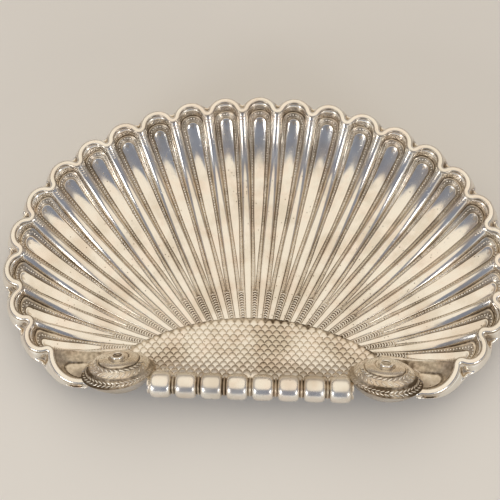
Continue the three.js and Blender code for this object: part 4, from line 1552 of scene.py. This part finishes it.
        edit_faces(
            button,
            is_top,
            lambda: bpy.ops.mesh.inset(thickness=inset),
            lambda: bpy.ops.mesh.extrude_region_move(
                TRANSFORM_OT_translate={"value": (0, 0, -self.dimple_depth)}
            ),
            lambda: bpy.ops.mesh.inset(thickness=0.7),
        )
        apply_modifier(button, "BEVEL", width=0.85, segments=4, limit_method="ANGLE")
        seat = float(self.dome_rise(np.array(self.button_radius))) - self.groove_depth
        points = read_points(button.data)
        points[:, 2] += seat + self.button_height - depth / 2
        # Painted shade in the sunk middle.
        hollow = 0.9 * (np.hypot(points[:, 0], points[:, 1]) < self.dimple_radius - 0.2)
        world = points @ self.matrix[:3, :3].T + self.matrix[:3, 3]
        write_points(button.data, to_frame(world))
        write_hollow(button.data, hollow)
        smooth(button, 50)
        return button

    def build(self, probe: SheetProbe) -> list[bpy.types.Object]:
        """Build the dome and its leaves and return them."""
        self.build_dome(probe)
        self.build_leaves()
        return self.pieces


def leaf_pair() -> bpy.types.Object:
    """Model a pair of leaves that meet in a point towards +Y, each a low ridge."""
    leaves = []
    for sign in (-1, 1):
        leaf = half_ball(6, 4)
        points = read_points(leaf.data)
        rim = 1 - points[:, 2]
        turned = np.stack(
            [sign * (0.5 + points[:, 0] * 0.5), points[:, 1] * 0.5 - 0.75 * points[:, 0] - 0.3],
            axis=-1,
        )
        points[:, :2] = turned
        points[:, 2] -= 0.15
        write_points(leaf.data, points)
        # Painted shade round each leaf's low edge.
        write_hollow(leaf.data, rim**2)
        if sign < 0:
            edit(leaf, lambda: bpy.ops.mesh.flip_normals())
        leaves.append(leaf)
    return join(leaves, "leaf_pair")


@dataclass
class Foot:
    """One ball foot: a ball with a small flat, a neck with a collar, and a round plate."""

    FRONT_X = 82.0
    FRONT_Y = -52.0
    BACK_Y = 40.0

    name: str
    x: float
    y: float
    ball_radius: float = 7.6
    flat_radius: float = 3.0
    neck_radius: float = 4.6
    plate_radius: float = 12.5
    gap: float = 0.3

    @property
    def plate_node(self) -> str:
        """The name of the plate's node."""
        return f"foot_plate_{self.name}"

    @property
    def ball_node(self) -> str:
        """The name of the ball's node."""
        return f"foot_ball_{self.name}"

    def plate_bottom(self) -> float:
        """Return the height of the plate's lower face, from its node."""
        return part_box(self.plate_node)[0][2] / MM - frame_shift()[2]

    def build_plate(self, probe: SheetProbe) -> bpy.types.Object:
        """Build the plate, whose edge climbs to the flutes above it."""
        clear_selection()
        bpy.ops.mesh.primitive_cylinder_add(vertices=96, radius=self.plate_radius, depth=1)
        plate = named(bpy.context.object, f"plate_{self.name}")
        edit_faces(
            plate,
            lambda face: face.normal.z < -0.9,
            lambda: bpy.ops.mesh.inset(thickness=1.1),
            lambda: bpy.ops.mesh.inset(thickness=1.6),
            lambda: bpy.ops.transform.translate(value=(0, 0, 0.5)),
            lambda: bpy.ops.mesh.inset(thickness=1.0),
            lambda: bpy.ops.transform.translate(value=(0, 0, -0.4)),
        )
        rings = [lambda: bpy.ops.mesh.inset(thickness=2.0)] * 5
        edit_faces(plate, lambda face: face.normal.z > 0.9, *rings)
        bottom = self.plate_bottom()
        points = read_points(plate.data)
        for point in points:
            is_top = point[2] > 0.4
            below = point[2] + 0.5
            point[0] += self.x
            point[1] += self.y
            sheet = probe.height((point[0], point[1], bottom - 2), upwards=True)
            point[2] = sheet - 0.1 if is_top and sheet is not None else bottom + below
        write_points(plate.data, to_frame(points))
        # The plate under the dish is painted a little darker: painted shade.
        write_hollow(plate.data, np.full(len(points), 0.25))
        apply_modifier(
            plate, "BEVEL", width=0.4 * MM, segments=3, limit_method="ANGLE", angle_limit=0.6
        )
        smooth(plate, 40)
        return plate

    def build_ball(self) -> bpy.types.Object:
        """Build the ball, cut flat where it stands, with its neck and collar."""
        clear_selection()
        centre = math.sqrt(self.ball_radius**2 - self.flat_radius**2)
        top = self.plate_bottom() - self.gap
        bpy.ops.mesh.primitive_uv_sphere_add(
            segments=64, ring_count=40, radius=self.ball_radius, location=(0, 0, centre)
        )
        ball = bpy.context.object
        bpy.ops.object.transform_apply(location=True)
        edit(
            ball,
            lambda: bpy.ops.mesh.bisect(
                plane_co=(0, 0, 0), plane_no=(0, 0, 1), clear_inner=True, use_fill=True
            ),
        )
        clear_selection()
        bottom = centre + self.ball_radius * 0.7
        bpy.ops.mesh.primitive_cylinder_add(
            vertices=64, radius=self.neck_radius, depth=top - bottom, location=(0, 0, (top + bottom) / 2)
        )
        neck = bpy.context.object
        bpy.ops.object.transform_apply(location=True)
        clear_selection()
        collar_height = lerp(centre + self.ball_radius * 0.86, top, 0.55)
        bpy.ops.mesh.primitive_torus_add(
            major_segments=64,
            minor_segments=14,
            major_radius=self.neck_radius + 0.1,
            minor_radius=0.75,
            location=(0, 0, collar_height),
        )
        collar = bpy.context.object
        bpy.ops.object.transform_apply(location=True)
        foot = join([ball, neck, collar], f"ball_{self.name}")
        points = read_points(foot.data) + np.array([self.x, self.y, 0.0])
        write_points(foot.data, to_frame(points))
        # Painted shade round the collar's crease.
        near = bump(points[:, 2], collar_height, 2.2)
        write_hollow(foot.data, 0.5 * near)
        smooth(foot, 40)
        return foot


FEET = (
    Foot("left", -Foot.FRONT_X, Foot.FRONT_Y),
    Foot("right", Foot.FRONT_X, Foot.FRONT_Y),
    Foot("back", 0.0, Foot.BACK_Y),
)


# Finishes

NUMBER = "NodeSocketFloat"
COORDINATES = "NodeSocketVector"


class Nodes:
    """A thin hand for building node trees."""

    def __init__(self, tree: bpy.types.NodeTree) -> None:
        """Hold a tree to build in."""
        self.tree = tree

    def add(self, kind: str, values: Optional[Inputs] = None, **settings: object) -> bpy.types.Node:
        """Add a node.

        Args:
            kind: The node's type.
            values: Constants or links for its inputs by name.
            settings: Its own settings.

        Returns:
            The node.
        """
        node = self.tree.nodes.new(kind)
        for key, value in settings.items():
            setattr(node, key, value)
        for key, value in (values or {}).items():
            self.put(node.inputs[key], value)
        return node

    def put(self, socket: bpy.types.NodeSocket, value: object) -> None:
        """Link an output to a socket, or set the socket's own value.

        Args:
            socket: The input.
            value: A constant, or the socket to link.
        """
        if isinstance(value, bpy.types.NodeSocket):
            self.tree.links.new(value, socket)
        else:
            socket.default_value = value

    def math(self, operation: str, *values: object) -> bpy.types.NodeSocket:
        """Add a math node.

        Args:
            operation: What it does.
            values: Constants or links, in order.

        Returns:
            The result's socket.
        """
        node = self.add("ShaderNodeMath", operation=operation)
        for socket, value in zip(node.inputs, values):
            self.put(socket, value)
        return node.outputs[0]

    def remap(
        self, value: object, low: float, high: float, start: float = 0.0, end: float = 1.0
    ) -> bpy.types.NodeSocket:
        """Map a range of a value smoothly onto another.

        Args:
            value: A constant or a link.
            low: The value that gives the start.
            high: The value that gives the end.
            start: The result at the low value and below it.
            end: The result at the high value and above it.

        Returns:
            The result's socket.
        """
        node = self.add(
            "ShaderNodeMapRange",
            {"Value": value, "From Min": low, "From Max": high, "To Min": start, "To Max": end},
            interpolation_type="SMOOTHSTEP",
        )
        return node.outputs["Result"]

    def noise(
        self, vector: object, scale: float, detail: float, roughness: float = 0.5
    ) -> bpy.types.NodeSocket:
        """Add a noise texture.

        Args:
            vector: The coordinates' socket.
            scale: The number of its features in a metre.
            detail: The number of its octaves.
            roughness: How strong the finer octaves are.

        Returns:
            The factor's socket.
        """
        node = self.add(
            "ShaderNodeTexNoise",
            {"Vector": vector, "Scale": scale, "Detail": detail, "Roughness": roughness},
        )
        return node.outputs["Fac"]

    def mix(
        self, share: object, low: object, high: object, blend: str = "MIX"
    ) -> bpy.types.NodeSocket:
        """Mix two colours.

        Args:
            share: How much of the second colour goes in.
            low: The first colour, or its link.
            high: The second colour, or its link.
            blend: How they mix.

        Returns:
            The mixed colour's socket.
        """
        values = {"Factor": share, "A": low, "B": high}
        node = self.add("ShaderNodeMix", values, data_type="RGBA", blend_type=blend)
        return node.outputs["Result"]


def new_material(name: str) -> tuple[bpy.types.Material, Nodes, bpy.types.Node]:
    """Start a material, and return it with the hand for its tree and its shader."""
    material = bpy.data.materials.new(name)
    material.use_nodes = True
    tree = material.node_tree
    return material, Nodes(tree), tree.nodes["Principled BSDF"]


def new_group(
    name: str, inputs: dict[str, str], outputs: dict[str, str]
) -> tuple[Nodes, bpy.types.Node, bpy.types.Node]:
    """Start a shader node group with named sockets.

    Args:
        name: The group's name.
        inputs: Socket types by input name.
        outputs: Socket types by output name.

    Returns:
        The hand for its tree, and its input and output nodes.
    """
    tree = bpy.data.node_groups.new(name, "ShaderNodeTree")
    for socket, kind in inputs.items():
        tree.interface.new_socket(socket, in_out="INPUT", socket_type=kind)
    for socket, kind in outputs.items():
        tree.interface.new_socket(socket, in_out="OUTPUT", socket_type=kind)
    nodes = Nodes(tree)
    return nodes, nodes.add("NodeGroupInput"), nodes.add("NodeGroupOutput")


def tarnish_and_shade_group() -> bpy.types.NodeTree:
    """Build the darkening of the silver: painted shade and tarnish in hollows, tarnish clouding open
    metal, and pits.
    """
    nodes, given, result = new_group(
        "Tarnish",
        {"Vector": COORDINATES, "Hollow": NUMBER, "Film": NUMBER, "Pits": NUMBER},
        {"Mask": NUMBER, "Pit": NUMBER, "Blush": NUMBER},
    )
    vector = given.outputs["Vector"]
    clouds = nodes.noise(vector, 38, 3)
    grain = nodes.noise(vector, 420, 2)
    coarse = nodes.remap(clouds, 0.3, 0.7, 0.6, 1.0)
    uneven = nodes.math("ADD", coarse, nodes.remap(grain, 0.3, 0.7, -0.15, 0.2))
    # The hollow value paints shade into recesses, together with the tarnish that gathers there.
    deep = nodes.math("MULTIPLY", given.outputs["Hollow"], uneven)
    film = nodes.math("MULTIPLY", given.outputs["Film"], nodes.remap(clouds, 0.42, 0.66, 0.15, 1.0))
    cells = nodes.add("ShaderNodeTexVoronoi", {"Vector": vector, "Scale": 380.0, "Randomness": 1.0})
    spot = nodes.remap(cells.outputs["Distance"], 0.09, 0.22, 1.0, 0.0)
    chance = nodes.add("ShaderNodeSeparateColor", {"Color": cells.outputs["Color"]}).outputs[0]
    cluster = nodes.remap(nodes.noise(vector, 26, 2), 0.46, 0.62, 0.03, 0.4)
    chosen = nodes.math("LESS_THAN", chance, cluster)
    pit = nodes.math("MULTIPLY", nodes.math("MULTIPLY", spot, chosen), given.outputs["Pits"])
    total = nodes.math("ADD", nodes.math("ADD", deep, film), pit)
    nodes.put(result.inputs["Mask"], nodes.math("MINIMUM", total, 1.0))
    nodes.put(result.inputs["Pit"], pit)
    nodes.put(result.inputs["Blush"], nodes.remap(nodes.noise(vector, 62, 3, 0.6), 0.42, 0.66))
    return nodes.tree


def handling_group() -> bpy.types.NodeTree:
    """Build the effect of use: fine scratches and smears in the polish, and the bump that they leave."""
    nodes, given, result = new_group(
        "Handling marks",
        {"Vector": COORDINATES, "Mask": NUMBER, "Pit": NUMBER, "Gloss": NUMBER, "Dull": NUMBER},
        {"Roughness": NUMBER, "Height": NUMBER},
    )
    vector = given.outputs["Vector"]
    smears = nodes.noise(vector, 55, 4, 0.6)
    stretched = nodes.add(
        "ShaderNodeMapping",
        {"Vector": vector, "Rotation": (0.2, 0.1, 0.7), "Scale": (90.0, 1400.0, 700.0)},
    )
    scratches = nodes.noise(stretched.outputs["Vector"], 1.0, 3, 0.7)
    polish = nodes.math("ADD", given.outputs["Gloss"], nodes.remap(smears, 0.4, 0.75, -0.03, 0.08))
    gap = nodes.math("SUBTRACT", given.outputs["Dull"], polish)
    rough = nodes.math("MULTIPLY_ADD", given.outputs["Mask"], gap, polish)
    nodes.put(result.inputs["Roughness"], rough)
    fine = nodes.math("MULTIPLY", nodes.remap(scratches, 0.62, 0.75), 0.35)
    sunk = nodes.math("MULTIPLY_ADD", given.outputs["Pit"], -1.0, fine)
    nodes.put(result.inputs["Height"], sunk)
    return nodes.tree


@dataclass(frozen=True)
class SilverFinish:
    """A finish of the silver, from how it is polished to how much tarnish it keeps."""

    name: str
    slot: str
    clean: Colour = (0.90, 0.875, 0.815)
    warm: Colour = (0.64, 0.56, 0.45)
    dark: Colour = (0.13, 0.095, 0.06)
    blush: Colour = (1.0, 0.955, 0.935)
    gloss: float = 0.17
    dull: float = 0.55
    film: float = 0.16
    pits: float = 0.8
    relief: float = 0.35
    warm_at: float = 0.38
    scratch_depth: float = 0.0002

    def material(self, tarnish_and_shade: bpy.types.NodeTree, handling: bpy.types.NodeTree) -> bpy.types.Material:
        """Build the material.

        Args:
            tarnish_and_shade: The shared darkening, painted shade in hollows and tarnish.
            handling: The shared effect of use.

        Returns:
            The material.
        """
        material, nodes, shader = new_material(self.name)
        vector = nodes.add("ShaderNodeTexCoord").outputs["Object"]
        # The hollow attribute carries painted shade in recesses, together with the tarnish there.
        hollow = nodes.add("ShaderNodeAttribute", attribute_name=HOLLOW).outputs["Fac"]
        darkening = nodes.add(
            "ShaderNodeGroup",
            {"Vector": vector, "Hollow": hollow, "Film": self.film, "Pits": self.pits},
            node_tree=tarnish_and_shade,
        ).outputs
        shares = {"Mask": darkening["Mask"], "Pit": darkening["Pit"], "Gloss": self.gloss, "Dull": self.dull}
        wear = nodes.add(
            "ShaderNodeGroup", {"Vector": vector, **shares}, node_tree=handling
        ).outputs
        # The ramp darkens the silver by the mask: painted shade in hollows, and tarnish.
        ramp = nodes.add("ShaderNodeValToRGB", {"Fac": darkening["Mask"]})
        ramp.color_ramp.elements[0].color = (*self.clean, 1)
        ramp.color_ramp.elements[1].color = (*self.dark, 1)
        ramp.color_ramp.elements.new(self.warm_at).color = (*self.warm, 1)
        colour = nodes.mix(darkening["Blush"], ramp.outputs["Color"], (*self.blush, 1), "MULTIPLY")
        relief = nodes.add(
            "ShaderNodeBump",
            {"Height": wear["Height"], "Strength": self.relief, "Distance": self.scratch_depth},
        )
        nodes.put(shader.inputs["Base Color"], colour)
        nodes.put(shader.inputs["Roughness"], wear["Roughness"])
        nodes.put(shader.inputs["Metallic"], 1.0)
        nodes.put(shader.inputs["Normal"], relief.outputs["Normal"])
        return material


CHASED = SilverFinish("chased_silver", "silver_chased", gloss=0.14, film=0.18)
MIRROR = SilverFinish("burnished_silver", "silver_polished", gloss=0.12, film=0.08, pits=0.3)
WORN = SilverFinish("worn_silver", "silver_polished", gloss=0.27, film=0.2, pits=0.4)
SCALED = SilverFinish("scaled_silver", "silver_chased", gloss=0.24, film=0.3, pits=0.8)


@dataclass(frozen=True)
class Lamp:
    """A square soft lamp that faces the dish, with its place and size in metres and its power."""

    name: str
    place: tuple[float, float, float]
    size: float
    power: float
    colour: Colour

    def add(self) -> None:
        """Add the lamp to the scene."""
        data = bpy.data.lights.new(self.name, "AREA")
        data.size = self.size
        data.energy = self.power
        data.color = self.colour
        lamp = bpy.data.objects.new(self.name, data)
        lamp.location = self.place
        lamp.rotation_euler = (-Vector(self.place)).to_track_quat("-Z", "Y").to_euler()
        bpy.context.scene.collection.objects.link(lamp)


@dataclass
class Studio:
    """The pale floor, the soft light and the camera."""

    floor_half: float = 6.0
    floor_tones: tuple[Colour, Colour] = ((0.80, 0.79, 0.77), (0.84, 0.83, 0.81))
    ceiling: Colour = (1.0, 0.905, 0.77)
    back_wall: Colour = (0.36, 0.31, 0.27)
    front_wall: Colour = (0.25, 0.27, 0.33)
    ground: Colour = (0.95, 0.93, 0.89)
    lamps: tuple[Lamp, ...] = (
        Lamp("window_left", (-1.0, -1.15, 0.62), 0.5, 5.0, (1.0, 0.99, 0.97)),
        Lamp("window_right", (1.0, -1.15, 0.62), 0.4, 3.2, (1.0, 0.98, 0.95)),
    )
    target: tuple[float, float, float] = (-0.0050, 0.0015, 0.030)
    distance: float = 0.640
    elevation_deg: float = 64.8
    azimuth_deg: float = 7.43
    roll_deg: float = -5.49
    focal_px: float = 808.0
    frame_px: float = 500.0

    def add_floor(self) -> None:
        """Add the floor, which isn't part of the dish."""
        clear_selection()
        bpy.ops.mesh.primitive_plane_add(size=2 * self.floor_half)
        floor = named(bpy.context.object, "studio_floor")
        material, nodes, shader = new_material("pale_floor")
        vector = nodes.add("ShaderNodeTexCoord").outputs["Object"]
        tone = nodes.add("ShaderNodeValToRGB", {"Fac": nodes.noise(vector, 3, 3)})
        for element, colour in zip(tone.color_ramp.elements, self.floor_tones):
            element.color = (*colour, 1)
        nodes.put(shader.inputs["Base Color"], tone.outputs["Color"])
        nodes.put(shader.inputs["Roughness"], 0.7)
        floor.data.materials.append(material)

    def add_camera(self) -> None:
        """Add the camera where the photograph was taken from."""
        elevation = math.radians(self.elevation_deg)
        azimuth = math.radians(self.azimuth_deg)
        roll = math.radians(self.roll_deg)
        back = Vector(
            (
                math.sin(azimuth) * math.cos(elevation),
                -math.cos(azimuth) * math.cos(elevation),
                math.sin(elevation),
            )
        )
        right = Vector((math.cos(azimuth), math.sin(azimuth), 0))
        up = back.cross(right)
        rolled_right = right * math.cos(roll) + up * math.sin(roll)
        rolled_up = up * math.cos(roll) - right * math.sin(roll)
        turn = Matrix((rolled_right, rolled_up, back)).transposed().to_4x4()
        data = bpy.data.cameras.new("camera")
        data.lens = data.sensor_width * self.focal_px / self.frame_px
        camera = bpy.data.objects.new("camera", data)
        camera.matrix_world = Matrix.Translation(Vector(self.target) + back * self.distance) @ turn
        bpy.context.scene.collection.objects.link(camera)
        bpy.context.scene.camera = camera

    def add_room(self) -> None:
        """Light the room: a warm pale ceiling, and duller walls that the steep metal shows."""
        world = bpy.data.worlds.new("room")
        bpy.context.scene.world = world
        world.use_nodes = True
        nodes = Nodes(world.node_tree)
        generated = nodes.add("ShaderNodeTexCoord").outputs["Generated"]
        direction = nodes.add("ShaderNodeSeparateXYZ", {"Vector": generated}).outputs
        to_front = nodes.remap(direction["Y"], -0.75, 0.35, 1.0, 0.0)
        walls = nodes.mix(to_front, (*self.back_wall, 1), (*self.front_wall, 1))
        leaning = nodes.math("MULTIPLY_ADD", direction["Y"], 0.25, direction["Z"])
        upper = nodes.mix(nodes.remap(leaning, 0.665, 0.705), walls, (*self.ceiling, 1))
        low = nodes.remap(direction["Z"], 0.05, 0.22, 1.0, 0.0)
        whole = nodes.mix(low, upper, (*self.ground, 1))
        background = world.node_tree.nodes["Background"]
        nodes.put(background.inputs["Color"], whole)
        nodes.put(background.inputs["Strength"], 1.0)

    def build(self) -> None:
        """Build the whole studio."""
        self.add_floor()
        self.add_camera()
        self.add_room()
        for lamp in self.lamps:
            lamp.add()


@dataclass
class ShellDish:
    """The whole dish, built sub-assembly by sub-assembly."""

    fan: FlutedFan = field(default_factory=FlutedFan)
    hub: ScaledHub = field(default_factory=ScaledHub)
    rim: LobedRim = field(default_factory=LobedRim)
    front: GadroonFront = field(default_factory=GadroonFront)

    def hand_over(
        self,
        pieces: Sequence[bpy.types.Object],
        node: str,
        look: bpy.types.Material,
    ) -> None:
        """Give pieces their material and their body, and hide the node that they replace.

        Args:
            pieces: The new pieces.
            node: The node that they replace.
            look: The material of that finish.
        """
        for piece in pieces:
            piece.data.materials.clear()
            piece.data.materials.append(look)
            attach(piece, BODY)
            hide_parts(node)
            LOG.info("%s: %d faces, for %s", piece.name, len(piece.data.polygons), node)

    def build(self) -> None:
        """Build and dress every piece."""
        tarnish_and_shade, handling = tarnish_and_shade_group(), handling_group()
        looks = {finish: finish.material(tarnish_and_shade, handling) for finish in (CHASED, MIRROR, WORN, SCALED)}
        probe = SheetProbe()
        self.hand_over(self.fan.build(), "shell_bowl", looks[CHASED])
        self.hand_over(self.hub.build(), "shell_bowl", looks[SCALED])
        self.hand_over(self.rim.build(), "rim_border", looks[MIRROR])
        self.hand_over(self.front.build(), "gadroon_border", looks[WORN])
        for side in Side:
            volute = Volute(side)
            self.hand_over(volute.build(probe), f"volute_{side.label}", looks[CHASED])
            self.hand_over([volute.build_button()], f"volute_button_{side.label}", looks[MIRROR])
        for foot in FEET:
            self.hand_over([foot.build_plate(probe)], foot.plate_node, looks[MIRROR])
            self.hand_over([foot.build_ball()], foot.ball_node, looks[MIRROR])


def main() -> None:
    """Build the dish and the studio."""
    logging.basicConfig(level=logging.INFO, format="%(message)s")
    bpy.context.scene.view_settings.view_transform = "Standard"
    ShellDish().build()
    Studio().build()


if __name__ == "__main__":
    main()
